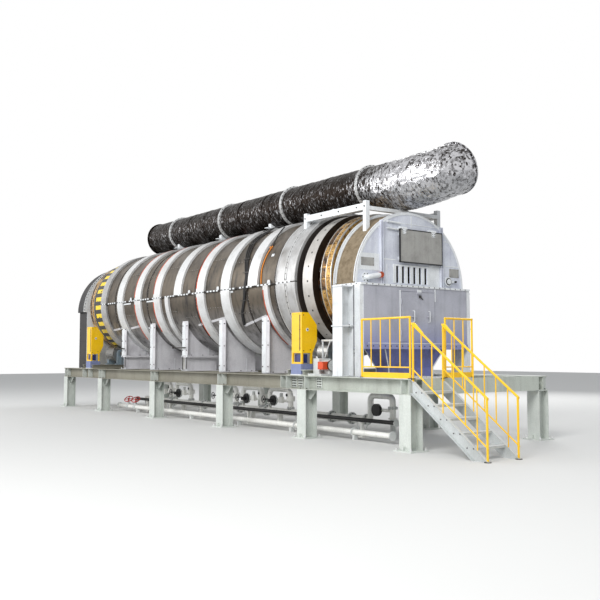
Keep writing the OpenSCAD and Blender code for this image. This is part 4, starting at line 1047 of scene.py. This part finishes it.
# %% [markdown]
# Each roller's end faces carry a turned groove and six screws that hold its sleeve on the shaft.
# They ride on the roller's own body, so they go round with it.

# %% Screws and grooves of the rollers' ends
for centre, half, end in zip(TYRE_X, (0.18, 0.28), ("near", "far")):
    for side, row in ((-1, "front"), (1, "rear")):
        bm = bmesh.new()
        for way in (-1, 1):
            for p in circle(centre + way * half, side * ROLLER_Y, ROLLER_Z, 0.16, 6):
                add_bolt(bm, p, (way, 0, 0), 0.009, 0.007)
        name = f"roller_{end}_{row}"
        make_piece(name + "_screws", bm, "dark_bolt_steel", name)

# %% [markdown]
# The nip guards keep hands out of the gap between roller and ring. They are folded yellow sheet on
# a leg frame. A dark strip down the front is painted shade for the slot at its fold, each bolt eye
# has a white washer, and a pressed panel stiffens the side. A dark blue panel fills the opening
# between the legs: painted shade.

# %% Folds, eyes and panels of the nip guards
trim, dark, pale, blue = (bmesh.new() for _ in range(4))
GUARD_OUT = 1.85
FRONT_Y = -GUARD_OUT + 0.001
EYE_Y, EYE_Z = -1.70, 2.27
for centre in TYRE_X:
    x0, x1 = pair(centre, 0.18)
    z0, z1 = 1.77, 2.64
    # Dark strips across and down the front, by the fold, are painted shade for the hollows of its
    # slots.
    for z in (z0 + 0.10, z0 + 0.30, z0 + 0.50, z0 + 0.70):
        add_block(dark, (x1 - 0.094, -GUARD_OUT - 0.004, z), (x1 - 0.036, -GUARD_OUT + 0.002,
                                                              z + 0.006))
    add_block(dark, (x1 - 0.079, -GUARD_OUT - 0.003, z0 + 0.05), (x1 - 0.051,
              -GUARD_OUT + 0.010, z1 - 0.05))
    for z in (z0 + 0.02, z0 + 0.28, z0 + 0.58, z1 - 0.04):
        add_block(trim, (x0 + 0.02, -GUARD_OUT - 0.006, z), (x1 - 0.11, FRONT_Y, z + 0.02))
    for side, way in ((x0, -1), (x1, 1)):
        for bm, near, far, radius, sides in ((pale, -0.002, 0.008, 0.036, 20),
                                             (dark, 0.006, 0.016, 0.016, 6)):
            add_rod_x(bm, side + way * near, side + way * far, EYE_Y, EYE_Z, radius, sides)
        for y, z in ((-1.80, 1.82), (-1.80, 2.58), (-1.62, 1.84)):
            add_bolt(dark, (side, y, z), (way, 0, 0), 0.008)
    # A dark blue panel fills the opening between the legs: painted shade.
    add_block(blue, (x0 + 0.05, -1.80, 1.56), (x1 - 0.05, -1.66, 1.745))
    add_block(pale, (x0 - 0.02, -1.875, DECK_Z + 0.001), (x1 + 0.02, -1.54, DECK_Z + 0.022))
    add_bolts(dark, pair(centre, 0.13), (-1.84, -1.58), (DECK_Z + 0.021,), (0, 0, 1), 0.010)
make_piece("guard_folds", trim, "safety_yellow_enamel", bevel=0.002)
make_piece("guard_slot_shade_and_bolts", dark, "black_rubber_and_painted_shade")
make_piece("guard_eyes", pale, "white_trim_paint", bevel=0.002)
make_piece("guard_leg_shade_panels", blue, "deep_blue_painted_shade", bevel=0.004)

# %% [markdown]
# The drive stands beside the guard: a geared motor with cooling fins, a fan cover and an orange
# connection box. White bars carry a small cover over the coupling.

# %% Fins, fan cover and cover bars of the drive
fins, dark, bars = (bmesh.new() for _ in range(3))
MOTOR_Y, MOTOR_Z = -1.52, 1.51
for k in range(28):
    a = math.radians(k * 360 / 28)
    out = Vector((0, math.cos(a), math.sin(a)))
    if not (-1.9 < math.atan2(out.z, out.y) < -1.2):
        p = Vector((0, MOTOR_Y, MOTOR_Z)) + out * 0.108
        add_flat_bar(fins, [p + ALONG * 4.56, p + ALONG * 4.76], [out, out], 0.005, 0.014)
add_rod_x(dark, 4.765, 4.80, MOTOR_Y, MOTOR_Z, 0.116, 28)
for r in (0.03, 0.055, 0.08):
    for p in circle(4.801, MOTOR_Y, MOTOR_Z, r, 16):
        add_rod(dark, p, p + ALONG * 0.002, 0.004, 6)
add_bolts(dark, (4.40, 4.50), pair(MOTOR_Y, 0.12), (1.661,), (0, 0, 1), 0.009)
add_bolts(dark, (4.365, 4.78), (-1.79, -1.40), (1.339,), (0, 0, 1), 0.011)
add_bolts(dark, (4.60, 4.745), (-1.739,), (1.448, 1.572), (0, -1, 0), 0.006)
add_block(bars, (4.20, -1.34, 2.02), (4.90, -1.30, 2.06))
for x in (4.22, 4.88):
    add_block(bars, (x - 0.015, -1.335, DECK_Z), (x + 0.015, -1.305, 2.025))
add_rod(bars, (4.52, -1.36, 2.02), (4.34, -1.36, 1.66), 0.012, 10)
add_rod_z(dark, 4.88, -1.32, 2.065, 2.10, 0.020, 8)
make_piece("motor_fins", fins, "motor_grey")
make_piece("motor_fan_and_bolts", dark, "dark_bolt_steel")
make_piece("coupling_cover_bars", bars, "white_trim_paint", bevel=0.002)

# %% [markdown]
# The discharge hood is folded from painted sheet. Its face has an edge band, seams where sheets
# overlap, two bare plates, a sight tube with a red-brown end, and a round sight port. All are
# bolted on, so each stands a few millimetres proud.

# %% Seams, edge band and bolts of the hood's face
seams, bands, screws = (bmesh.new() for _ in range(3))
RAIL_IN, RAIL_OUT = 0.845, 0.915
add_sector(bands, FACE_X - 0.001, FACE_X + 0.010, HOOD_R - 0.045, HOOD_R + 0.004, 0, 180, 90,
           ARCH_Z)
for k in range(31):
    a = 3 + k * 5.8
    add_bolt(screws, polar(FACE_X + 0.009, HOOD_R - 0.022, a, ARCH_Z), (1, 0, 0), 0.007)


def arch_y(z):
    """Half the width of the hood's face at a height."""
    return math.sqrt(max((HOOD_R - 0.05) ** 2 - (z - ARCH_Z) ** 2, 0.01))


for z in (4.36, 3.80):
    add_plate(seams, FACE_X, 0.006, -arch_y(z), -RAIL_OUT, z - 0.012, z + 0.012)
add_plate(seams, FACE_X, 0.006, -RAIL_IN, -0.46, 3.708, 3.732)
for z in (4.22, 3.68):
    add_plate(seams, FACE_X, 0.006, RAIL_OUT, arch_y(z), z - 0.012, z + 0.012)
add_plate(seams, FACE_X, 0.007, -0.012, 0.012, 4.44, 4.69)
add_plate(seams, FACE_X, 0.006, -RAIL_IN, RAIL_IN, 4.50, 4.515)
add_plate(seams, FACE_X, 0.006, 0.53, RAIL_IN, 3.20, 3.665)
for y in (-0.72, -0.47):
    add_plate(seams, FACE_X, 0.005, y, y + 0.02, 3.20, 3.62)
add_bolts(screws, (FACE_X + 0.007,), (-0.88, 0.88), [3.28 + k * 0.145 for k in range(9)],
          (1, 0, 0), 0.008)
for k in range(7):
    y = (k - 3) * 0.166
    add_plate(seams, FACE_X, 0.014, y - 0.040, y + 0.040, 3.225, 3.61)
add_plate(seams, FACE_X, 0.016, -0.54, 0.54, 3.597, 3.625)
make_piece("hood_face_seams", seams, "white_trim_paint", bevel=0.002)
make_piece("hood_edge_band", bands, "white_trim_paint", bevel=0.002)

# %% [markdown]
# Small fittings break up the wide face: the two bare plates with their screws, the bent sight
# tube with its red-brown end, and the round sight port with a dark glass.

# %% Bare plates, sight tube and sight port
plates, red, dark, white_bits = (bmesh.new() for _ in range(4))
for y0, y1, z0, z1 in ((-1.42, -1.07, 3.55, 3.72), (1.15, 1.45, 3.44, 3.63)):
    add_plate(plates, FACE_X, 0.009, y0, y1, z0, z1)
    for y, z in product((y0 + 0.02, y1 - 0.02), (z0 + 0.02, z1 - 0.02)):
        add_rod_x(dark, FACE_X + 0.008, FACE_X + 0.013, y, z, 0.007, 8)
add_plate(white_bits, FACE_X, 0.005, -1.48, -0.92, 3.46, 3.79)
add_pipe(white_bits, rounded(((FACE_X - 0.002, -1.30, 3.31), (FACE_X + 0.07, -1.30, 3.31),
                              (FACE_X + 0.07, -0.97, 3.37)), 0.05), 0.052, 18)
add_rod_x(white_bits, FACE_X - 0.002, FACE_X + 0.014, -1.30, 3.31, 0.10, 24)
add_rod(red, (FACE_X + 0.07, -0.975, 3.369), (FACE_X + 0.07, -0.905, 3.382), 0.062, 20)
for p in circle(FACE_X + 0.013, -1.30, 3.31, 0.08, 6):
    add_bolt(dark, p, (1, 0, 0), 0.008)
port = Vector((FACE_X, 1.10, 3.34))
add_rod(white_bits, port - ALONG * 0.002, port + ALONG * 0.030, 0.105, 28)
add_rod(dark, port + ALONG * 0.026, port + ALONG * 0.040, 0.080, 24)
add_rod(white_bits, port + ALONG * 0.036, port + ALONG * 0.052, 0.060, 24)
add_block(white_bits, port + Vector((0.002, 0.09, -0.02)), port + Vector((0.045, 0.20, 0.02)))
add_rod(dark, port + Vector((0.03, 0.185, 0)), port + Vector((0.085, 0.185, 0)), 0.022, 16)
for z in (4.39, 4.53):
    add_rod(white_bits, (FACE_X + 0.03, -0.72, z - 0.02), (FACE_X + 0.03, -0.36, z - 0.03), 0.022,
            14)
make_piece("hood_bare_plates", plates, "flap_grey_sheet", bevel=0.002)
make_piece("hood_sight_ends", red, "orange_primer", bevel=0.004)
make_piece("hood_sight_glass", dark, "black_rubber_and_painted_shade")
make_piece("hood_sight_tubes", white_bits, "white_trim_paint", bevel=0.003)

# %% [markdown]
# The flap hangs on brackets in front of the face. A black band round its edge is painted shadow,
# for the gap between flap and face, and pressed folds keep the sheet flat. Hinge knuckles sit on
# the upper brackets.

# %% Shadow band, folds and hinges of the flap
shadow_band_and_bolts, folds, white_bits = (bmesh.new() for _ in range(3))
FLAP_Y0, FLAP_Y1, FLAP_Z0, FLAP_Z1 = -0.40, 0.84, 3.68, 4.37
FLAP_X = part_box("hood_flap")[1].x
# A dark band round the flap's edge, standing behind it: painted shadow of the gap between flap and
# face.
for y0, y1, z0, z1 in ((FLAP_Y0 - 0.012, FLAP_Y1 + 0.008, FLAP_Z0 - 0.012, FLAP_Z0 + 0.010),
                       (FLAP_Y0 - 0.012, FLAP_Y1 + 0.008, FLAP_Z1 - 0.010, FLAP_Z1 + 0.012),
                       (FLAP_Y0 - 0.012, FLAP_Y0 + 0.010, FLAP_Z0, FLAP_Z1),
                       (FLAP_Y1 - 0.010, FLAP_Y1 + 0.008, FLAP_Z0, FLAP_Z1)):
    add_block(shadow_band_and_bolts, (FLAP_X - 0.034, y0, z0), (FLAP_X + 0.003, y1, z1))
for y in (0.02, 0.43):
    add_plate(folds, FLAP_X, 0.002, y - 0.004, y + 0.004, FLAP_Z0 + 0.03, FLAP_Z1 - 0.03)
for y in (-0.28, 0.58):
    add_rod_y(white_bits, FLAP_X - 0.002, y - 0.075, y + 0.075, FLAP_Z1 + 0.018, 0.020, 14)
    add_block(white_bits, (FLAP_X - 0.002, y - 0.05, FLAP_Z1 - 0.10), (FLAP_X + 0.007, y + 0.05,
                                                                      FLAP_Z1 + 0.018))
    add_bolts(shadow_band_and_bolts, (FLAP_X + 0.006,), pair(y, 0.03), (FLAP_Z1 - 0.08, FLAP_Z1 - 0.035), (1, 0, 0),
              0.007)
make_piece("flap_shadow_band_and_bolts", shadow_band_and_bolts, "black_rubber_and_painted_shade")
make_piece("flap_folds", folds, "flap_grey_sheet")
make_piece("flap_hinges", white_bits, "white_trim_paint", bevel=0.002)

# %% [markdown]
# Below the ledge the box has the access door. Its frame is a raised white line on the left and a
# short one at the upper right, and it has hinges, bent-bar handles, a small plate and a latch.
# The ledge and the bottom flange are bolted at an even pitch.

# %% Door frame, hinges, handles and flange bolts of the box
white_bits, frame_bits, screws = (bmesh.new() for _ in range(3))
BOX_Z0, BOX_Z1, BOX_SIDE = 1.85, 3.14, 1.503
DOOR_Z0, DOOR_Z1 = 2.01, 3.04
add_plate(white_bits, BOX_X, 0.010, -0.525, -0.500, DOOR_Z0, DOOR_Z1 + 0.03)
add_plate(white_bits, BOX_X, 0.010, 0.500, 0.525, DOOR_Z1 - 0.18, BOX_Z1 - 0.01)
add_plate(frame_bits, BOX_X, 0.009, -0.50, 0.50, DOOR_Z1 + 0.012, DOOR_Z1 + 0.032)
add_plate(frame_bits, BOX_X, 0.008, 0.500, 0.520, DOOR_Z0, DOOR_Z1 - 0.18)
for z in (DOOR_Z0 + 0.18, DOOR_Z1 - 0.20):
    add_rod_z(frame_bits, BOX_X + 0.020, -0.49, z - 0.06, z + 0.06, 0.014)
add_block(white_bits, (BOX_X + 0.011, -0.03, DOOR_Z1), (BOX_X + 0.024, 0.09, DOOR_Z1 + 0.055))
add_block(screws, (BOX_X + 0.011, 0.02, DOOR_Z1 - 0.115), (BOX_X + 0.040, 0.07, DOOR_Z1 - 0.065))
add_rod(screws, (BOX_X + 0.030, 0.045, DOOR_Z1 - 0.09), (BOX_X + 0.030, 0.12, DOOR_Z1 - 0.14),
        0.010)
for y in (-0.154, 0.298):
    z = DOOR_Z1 - 0.505
    add_pipe(white_bits, rounded(((BOX_X + 0.010, y, z + 0.115), (BOX_X + 0.062, y, z + 0.115),
                                  (BOX_X + 0.062, y, z - 0.115), (BOX_X + 0.010, y, z - 0.115)),
                                 0.025), 0.009)
flange_y = [-1.44 + k * 0.16 for k in range(19)]
side_x = [5.02 + k * 0.16 for k in range(5)]
add_bolts(screws, (BOX_X + 0.019,), flange_y, (3.16,), (1, 0, 0), 0.008)
add_bolts(screws, (BOX_X + 0.029,), flange_y, (BOX_Z0 + 0.06,), (1, 0, 0), 0.009)
for side in (-1, 1):
    add_bolts(screws, side_x, (side * 1.5,), (BOX_Z0 + 0.05,), (0, side, 0), 0.009)
    add_bolts(screws, side_x, (side * 1.59,), (3.16,), (0, side, 0), 0.008)
    for x, half, z0, z1 in ((5.12, 0.02, 2.02, 3.05), (5.34, 0.24, 2.5, 2.54)):
        add_pad(white_bits, x, side * BOX_SIDE, half, 0.006, z0, z1)
add_plate(white_bits, BOX_X, 0.030, -1.40, 1.40, BOX_Z0 + 0.112, BOX_Z0 + 0.124)
make_piece("box_door_frame", frame_bits, "cool_grey_hood", bevel=0.002)
make_piece("box_white_fittings", white_bits, "white_trim_paint", bevel=0.002)
make_piece("box_bolts", screws, "dark_bolt_steel")

# %% [markdown]
# The hood's collar carries the rear plate's rim on stitch bolts. It has been patched with
# refractory mortar, whose lumpy brown skin is what shows between the two white rims. The hopper
# has folded corner angles and a bolted flange, and the legs have their bolted joint.

# %% Rim bolts, hopper angles and leg joints
screws, angles = (bmesh.new() for _ in range(2))
LEG_X, LEG_Y, RIM_X = 5.3925, 1.74, 4.9625
for k in range(46):
    add_bolt(screws, polar(RIM_X, HOOD_R + 0.035, 2 + k * 3.9, ARCH_Z), (-1, 0, 0), 0.009)
for x in (5.0, 5.57):
    add_sector(angles, x - 0.012, x + 0.012, HOOD_R - 0.001, HOOD_R + 0.022, 1, 179, 80, ARCH_Z)
for side in (-1, 1):
    for top_x, low_x in ((5.0585, 5.1785), (5.6865, 5.5665)):
        add_pipe(angles, ((top_x, side * 0.852, 1.85), (low_x, side * 0.642, 1.46),
                          (low_x, side * 0.642, 0.985)), 0.014, 8)
    add_bolts(screws, [5.20 + k * 0.095 for k in range(5)], (side * 0.672,), (0.982,), (0, 0, 1),
              0.009)
    for z, up in ((2.324, 1), (2.300, -1), (1.306, 1)):
        add_bolts(screws, pair(LEG_X, 0.10), pair(side * LEG_Y, 0.10), (z,), (0, 0, up), 0.012)
    for z in (1.304, 3.10):
        add_pad(angles, LEG_X, side * LEG_Y, 0.15, 0.15, z, z + 0.016)
    for z in (1.9, 2.75):
        add_pad(angles, LEG_X, side * 1.735, 0.005, 0.14, z, z + 0.012)
make_piece("hood_rim_bolts", screws, "dark_bolt_steel")
make_piece("hood_angles", angles, "white_trim_paint", bevel=0.002)

# %% [markdown]
# The feed hood at the far end hardly shows in the photograph, so it is finished as its kind is:
# flat bars across the end wall, an inspection door with clamps, a bolted rim, and a bare flange
# where the feed screw would enter.

# %% Bars, door and flange of the feed hood
bars, screws, door = (bmesh.new() for _ in range(3))
END_X, FEED_RIM_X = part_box("feed_hood")[0].x, -8.4375
for z in (1.36, 2.0, 2.62, 3.18, 3.75):
    y = 1.49 if z <= 3.18 else math.sqrt(1.55 ** 2 - (z - ARCH_Z) ** 2) - 0.02
    add_block(bars, (END_X - 0.010, -y, z - 0.025), (END_X + 0.001, y, z + 0.025))
for y in (-0.9, 0.9):
    add_block(bars, (END_X - 0.009, y - 0.025, 1.32), (END_X + 0.001, y + 0.025, 4.36))
add_block(door, (END_X - 0.022, -0.36, 2.04), (END_X + 0.001, 0.36, 2.58))
for y, z in product((-0.40, 0.40), (2.12, 2.5)):
    add_pad(screws, END_X - 0.020, y, 0.010, 0.05, z - 0.015, z + 0.015)
add_rod_x(door, END_X - 0.060, END_X + 0.001, 0, 3.45, 0.23, 40)
add_rod_x(door, END_X - 0.064, END_X - 0.044, 0, 3.45, 0.29, 40)
for p in circle(END_X - 0.062, 0, 3.45, 0.26, 16, 11):
    add_bolt(screws, p, (-1, 0, 0), 0.010)
for k in range(46):
    add_bolt(screws, polar(FEED_RIM_X, HOOD_R + 0.030, 2 + k * 3.9, ARCH_Z), (1, 0, 0), 0.009)
for side in (-1, 1):
    add_bolts(screws, (END_X + 0.05,), (side * 1.5,), [1.42 + k * 0.2 for k in range(9)],
              (0, side, 0), 0.009)
    add_block(bars, (END_X + 0.06, side * BOX_SIDE - 0.006, 2.2),
              (-8.47, side * BOX_SIDE + 0.006, 2.26))
# The feed hood's bars share its black, which is painted shade.
make_piece("feed_hood_bars", bars, "black_paint_painted_shade", bevel=0.002)
make_piece("feed_hood_door", door, "cool_grey_hood", bevel=0.004)
make_piece("feed_hood_bolts", screws, "dark_bolt_steel")

# %% [markdown]
# The frame is bolted on site. Two splice plates join the main beam near the guard, each with
# three columns of four bolts. Every column has a cap plate, web stiffeners in the beam above it,
# and nuts on the anchor bolts of its base plate.

# %% Splice bolts, stiffeners and anchor nuts
screws, plates, anchors = (bmesh.new() for _ in range(3))
ROW_Y = 1.81
ROWS = (-9.0875, -6.2075, -2.6075, 0.9925, 4.3025, 7.4025)
for side in (-1, 1):
    add_pad(plates, 4.75, side * 1.822, 0.09, 0.006, 1.045, 1.265)
    for x in (3.8825, 4.1025, 4.75):
        add_bolts(screws, (x - 0.05, x, x + 0.05), (side * (ROW_Y + 0.017),),
                  [1.075 + k * 0.0535 for k in range(4)], (0, side, 0), 0.010)
    for x in ROWS:
        y = side * ROW_Y
        for u in pair(x, 0.10):
            if abs(u - 3.99) > 0.22 and u < 7.54:
                add_pad(plates, u, side * 1.885, 0.005, 0.068, 1.026, 1.284)
        add_pad(plates, x, y, 0.149, 0.149, 0.996, 1.0095)
        for z, up in ((1.0255, 1), (0.9965, -1)):
            add_bolts(screws, pair(x, 0.11), pair(y, 0.09), (z,), (0, 0, up), 0.012)
        for u, v in product(pair(x, 0.185), pair(y, 0.185)):
            for low, high, radius, sides in ((0.0, 0.006, 0.030, 20), (0.006, 0.028, 0.022, 6),
                                             (0.0, 0.055, 0.012, 12)):
                add_rod_z(anchors, u, v, 0.0255 + low, 0.0255 + high, radius, sides)
        for v in pair(y, 0.1755):
            add_pad(plates, x, v, 0.006, 0.03, 0.025, 0.10)
make_piece("splice_and_cap_bolts", screws, "dark_bolt_steel")
make_piece("beam_stiffeners", plates, "alkyd_paint_column", bevel=0.002)
make_piece("anchor_nuts", anchors, "zinc_hoop", bevel=0.001)

# %% [markdown]
# Gas comes to the burners through a header under the casing. White lagging covers each loop.
# Every loop has a gate valve, a pressure regulator with its round diaphragm case, a shut-off box
# and flanged joints. A dark pipe and a white drain line run beside the header on low stands with
# slanted braces, and two red handwheels close the drain.

# %% Helpers for pipe fittings


def add_flanges(bm, bolts, place, along, radius):
    """A pair of pipe flanges with eight bolts through both."""
    place, along = Vector(place), Vector(along).normalized()
    for u in (-0.012, 0.012):
        add_rod(bm, place + along * (u - 0.009), place + along * (u + 0.009), radius, 24)
    side = along.orthogonal().normalized()
    for k in range(8):
        p = place + (Matrix.Rotation(math.radians(k * 45), 3, along) @ side) * radius * 0.8
        add_rod(bolts, p - along * 0.030, p + along * 0.030, radius * 0.09, 6)


def add_wheel(bm, place, along, radius):
    """A handwheel: a bent round rim, four spokes and a hub."""
    place, along = Vector(place), Vector(along).normalized()
    side = along.orthogonal().normalized()
    rim = [place + (Matrix.Rotation(math.radians(k * 15), 3, along) @ side) * radius
           for k in range(25)]
    add_pipe(bm, rim, radius * 0.11, 8)
    for k in range(4):
        arm = Matrix.Rotation(math.radians(k * 90), 3, along) @ side
        add_rod(bm, place, place + arm * radius, radius * 0.08, 8)
    add_rod(bm, place - along * radius * 0.2, place + along * radius * 0.2, radius * 0.22, 12)


print("fittings ready")

# %% [markdown]
# The burner loops are alike, so one pass over their places draws them all.

# %% Burner loops
white_bits, iron, red, dark, bolts = (bmesh.new() for _ in range(5))
GAS_Y, GAS_Z, LOOP_Z = -0.40, 0.33, 0.88
for x in (1.3325, 0.0925, -1.1475, -3.6275, -4.8675):
    add_pipe(white_bits, rounded(((x - 0.45, GAS_Y, 0.52), (x - 0.45, GAS_Y, LOOP_Z),
                                  (x + 0.45, GAS_Y, LOOP_Z), (x + 0.45, GAS_Y, 0.46)), 0.18),
             0.064, 16)
    add_flanges(iron, bolts, (x - 0.45, GAS_Y, 0.485), (0, 0, 1), 0.095)
    add_flanges(iron, bolts, (x + 0.45, GAS_Y, 0.435), (0, 0, 1), 0.095)
    add_flanges(iron, bolts, (x, GAS_Y, 1.02), (0, 0, 1), 0.085)
    add_rod_z(white_bits, x + 0.45, GAS_Y, 0.60, 0.72, 0.105, 20)
    add_rod_y(dark, x - 0.20, GAS_Y - 0.02, GAS_Y - 0.10, 0.60, 0.125, 28)
    add_rod_y(iron, x - 0.20, GAS_Y - 0.04, GAS_Y - 0.06, 0.60, 0.140, 28)
    add_rod_y(dark, x - 0.20, GAS_Y - 0.10, GAS_Y - 0.22, 0.60, 0.045, 16)
    add_rod_x(white_bits, x - 0.44, x + 0.45, GAS_Y, 0.60, 0.034, 12)
    add_block(white_bits, (x + 0.06, GAS_Y - 0.10, 0.55), (x + 0.20, GAS_Y - 0.02, 0.70))
    add_block(iron, (x + 0.10, GAS_Y - 0.09, 0.70), (x + 0.16, GAS_Y - 0.03, 0.79))
    add_rod_y(dark, x - 0.45, GAS_Y - 0.05, GAS_Y - 0.20, 0.62, 0.016, 10)
    add_wheel(dark, (x - 0.45, GAS_Y - 0.20, 0.62), (0, 1, 0), 0.085)
    add_rod_z(white_bits, x + 0.30, GAS_Y, 0.62, 0.72, 0.010, 8)
    add_rod_y(iron, x + 0.30, GAS_Y - 0.02, GAS_Y + 0.02, 0.745, 0.042, 20)
    add_rod_y(dark, x + 0.30, GAS_Y - 0.026, GAS_Y - 0.018, 0.745, 0.034, 20)
for x in (-5.5, -4.25, -2.4, -0.5, 0.75, 2.3, 3.4, 4.1):
    add_flanges(iron, bolts, (x, GAS_Y, GAS_Z), (1, 0, 0), 0.135)
add_rod_x(white_bits, -6.0375, -6.065, GAS_Y, GAS_Z, 0.105, 24)
print("burner loops drawn")

# %% [markdown]
# The inlet loop under the hood ends in a blank flange. The dark line and the white drain line run
# the whole length of the frame, and rest on their stands.

# %% Inlet loop, side lines and stands
add_pipe(white_bits, rounded(((4.50, GAS_Y, GAS_Z), (4.72, GAS_Y, GAS_Z), (4.72, GAS_Y, 0.86),
                              (5.42, GAS_Y, 0.86), (5.42, GAS_Y, 0.40)), 0.14), 0.066, 16)
add_flanges(iron, bolts, (4.60, GAS_Y, GAS_Z), (1, 0, 0), 0.125)
add_flanges(iron, bolts, (5.42, GAS_Y, 0.62), (0, 0, 1), 0.105)
add_rod_z(white_bits, 5.42, GAS_Y, 0.385, 0.41, 0.10, 24)
add_block(iron, (5.38, GAS_Y - 0.04, 0.0), (5.46, GAS_Y + 0.04, 0.387))
add_rod_y(dark, 4.98, GAS_Y - 0.02, GAS_Y - 0.10, 0.56, 0.13, 28)
add_rod_x(white_bits, 4.72, 5.42, GAS_Y, 0.56, 0.036, 12)

SIDE_Y, SIDE_Z = -0.80, 0.36
DRAIN_Y, DRAIN_Z = -1.28, 0.16
add_rod_x(dark, -5.9, 5.95, SIDE_Y, SIDE_Z, 0.042, 16)
add_rod_x(white_bits, -6.2, 6.35, DRAIN_Y, DRAIN_Z, 0.058, 18)
for x in (-5.9, 5.95):
    add_rod_x(iron, x - 0.01, x + 0.01, SIDE_Y, SIDE_Z, 0.075, 20)
for x in (-6.2, -3.4, 0.2, 3.2, 5.2, 6.35):
    add_rod_x(iron, x - 0.012, x + 0.012, DRAIN_Y, DRAIN_Z, 0.092, 20)
for x in (-5.2, -3.7, -1.9, 0.5, 2.7, 4.9):
    add_pad(white_bits, x, SIDE_Y, 0.03, 0.03, 0.012, SIDE_Z - 0.04)
    add_pad(white_bits, x, SIDE_Y, 0.13, 0.10, 0.0, 0.012)
    add_pad(white_bits, x, SIDE_Y, 0.05, 0.06, SIDE_Z - 0.052, SIDE_Z - 0.040)
    for u in (-1, 1):
        add_rod(iron, (x + u * 0.02, SIDE_Y, 0.02), (x + u * 0.20, SIDE_Y, SIDE_Z - 0.035), 0.012,
                8)
    add_block(iron, (x + 0.30, DRAIN_Y - 0.05, 0.0), (x + 0.36, DRAIN_Y + 0.05, 0.104))
for x in (-5.55, -5.05):
    add_rod_z(iron, x, DRAIN_Y, DRAIN_Z, DRAIN_Z + 0.20, 0.030, 12)
    add_rod_x(iron, x - 0.07, x + 0.07, DRAIN_Y, DRAIN_Z, 0.080, 18)
    add_wheel(red, (x, DRAIN_Y, DRAIN_Z + 0.22), (0.35, -0.5, 0.9), 0.13)
make_piece("gas_lagging", white_bits, "white_gas_paint", bevel=0.002)
make_piece("gas_valves", iron, "motor_grey", bevel=0.001)
make_piece("gas_regulators", dark, "black_rubber_and_painted_shade", bevel=0.001)
make_piece("gas_handwheels", red, "red_enamel")
make_piece("gas_flange_bolts", bolts, "dark_bolt_steel")

# %% [markdown]
# The platform's deck is chequer plate: small raised lozenges in two directions give grip. They
# are modelled, since the stair is what a visitor sees from closest by. The treads have white
# nosings and ridges, and bolts hold them to the stringers.

# %% Chequer plate, nosings and stair bolts
studs, nosings, screws, hooks = (bmesh.new() for _ in range(4))
PLATE_X0, PLATE_X1, PLATE_Y0, PLATE_Y1, PLATE_Z = 5.8525, 7.5525, -1.96, -0.27, 1.306
STUD = 0.058
for i in range(int((PLATE_X1 - PLATE_X0) / STUD) - 1):
    for j in range(int((PLATE_Y1 - PLATE_Y0) / STUD) - 1):
        x, y = PLATE_X0 + (i + 1) * STUD, PLATE_Y0 + (j + 1) * STUD
        long, wide = (0.019, 0.006) if (i + j) % 2 else (0.006, 0.019)
        base = [studs.verts.new((x + u * long, y + v * wide, PLATE_Z - 0.0005))
                for u, v in ((1, 0), (0, 1), (-1, 0), (0, -1))]
        top = [studs.verts.new((x + u * long * 0.6, y + v * wide * 0.6, PLATE_Z + 0.003))
               for u, v in ((1, 0), (0, 1), (-1, 0), (0, -1))]
        for n in range(4):
            m = (n + 1) % 4
            studs.faces.new((base[n], base[m], top[m], top[n]))
        studs.faces.new(top)
RISE, GO = DECK_Z / 6, 0.29333
RAIL_X, RAIL_FOOT_X = 7.5945, 9.2705
for k in range(1, 6):
    x, z = PLATE_X1 + GO * k, DECK_Z - RISE * k
    add_block(nosings, (x - 0.040, -1.898, z - 0.003), (x + 0.005, -1.192, z + 0.005))
    for n in range(5):
        u = x - 0.08 - n * 0.038
        add_block(nosings, (u, -1.885, z - 0.002), (u + 0.007, -1.205, z + 0.003))
    for y, way in ((-1.901, -1), (-1.189, 1)):
        for u in (0.06, 0.20):
            add_bolt(screws, (x - u, y, z - 0.022), (0, -way, 0), 0.006)
            add_bolt(screws, (x - u, y + way * 0.010, z - 0.022), (0, way, 0), 0.008)
add_block(nosings, (PLATE_X1 - 0.045, -1.958, PLATE_Z - 0.002), (PLATE_X1 + 0.004, -1.132,
                                                                PLATE_Z + 0.005))
for y in (-1.93, -1.16):
    add_pipe(hooks, rounded(((RAIL_X, y, 2.15), (RAIL_X, y, 2.325), (7.84, y, 2.10)), 0.10, 8),
             0.0212, 14)
    add_rod_z(screws, RAIL_X, y, 1.30, 1.312, 0.045, 16)
    add_rod_z(screws, RAIL_FOOT_X, y, 0.0, 0.012, 0.06, 20)
for x, y in ((6.2125, -1.93), (7.5225, -1.93), (7.5225, -1.03), (7.5225, -0.30)):
    add_rod_z(screws, x, y, PLATE_Z, PLATE_Z + 0.010, 0.046, 20)
    for u in (-0.03, 0.03):
        add_bolt(screws, (x + u, y, PLATE_Z + 0.009), (0, 0, 1), 0.005)
make_piece("deck_lozenges", studs, "hot_dip_zinc_stair", smooth=False)
make_piece("tread_nosings", nosings, "white_trim_paint", bevel=0.001)
make_piece("stair_bolts", screws, "dark_bolt_steel")
make_piece("handrail_hooks", hooks, "safety_yellow_enamel")

# %% [markdown]
# Last, the frame's own pieces are shaded smoothly, and the number of pieces and of their faces is
# printed.

# %% Smooth the frame and count the pieces
for obj in nodes.values():
    smooth_by_angle(obj)
print(len(pieces), "pieces,", sum(count for _, count in pieces), "faces before bevels")
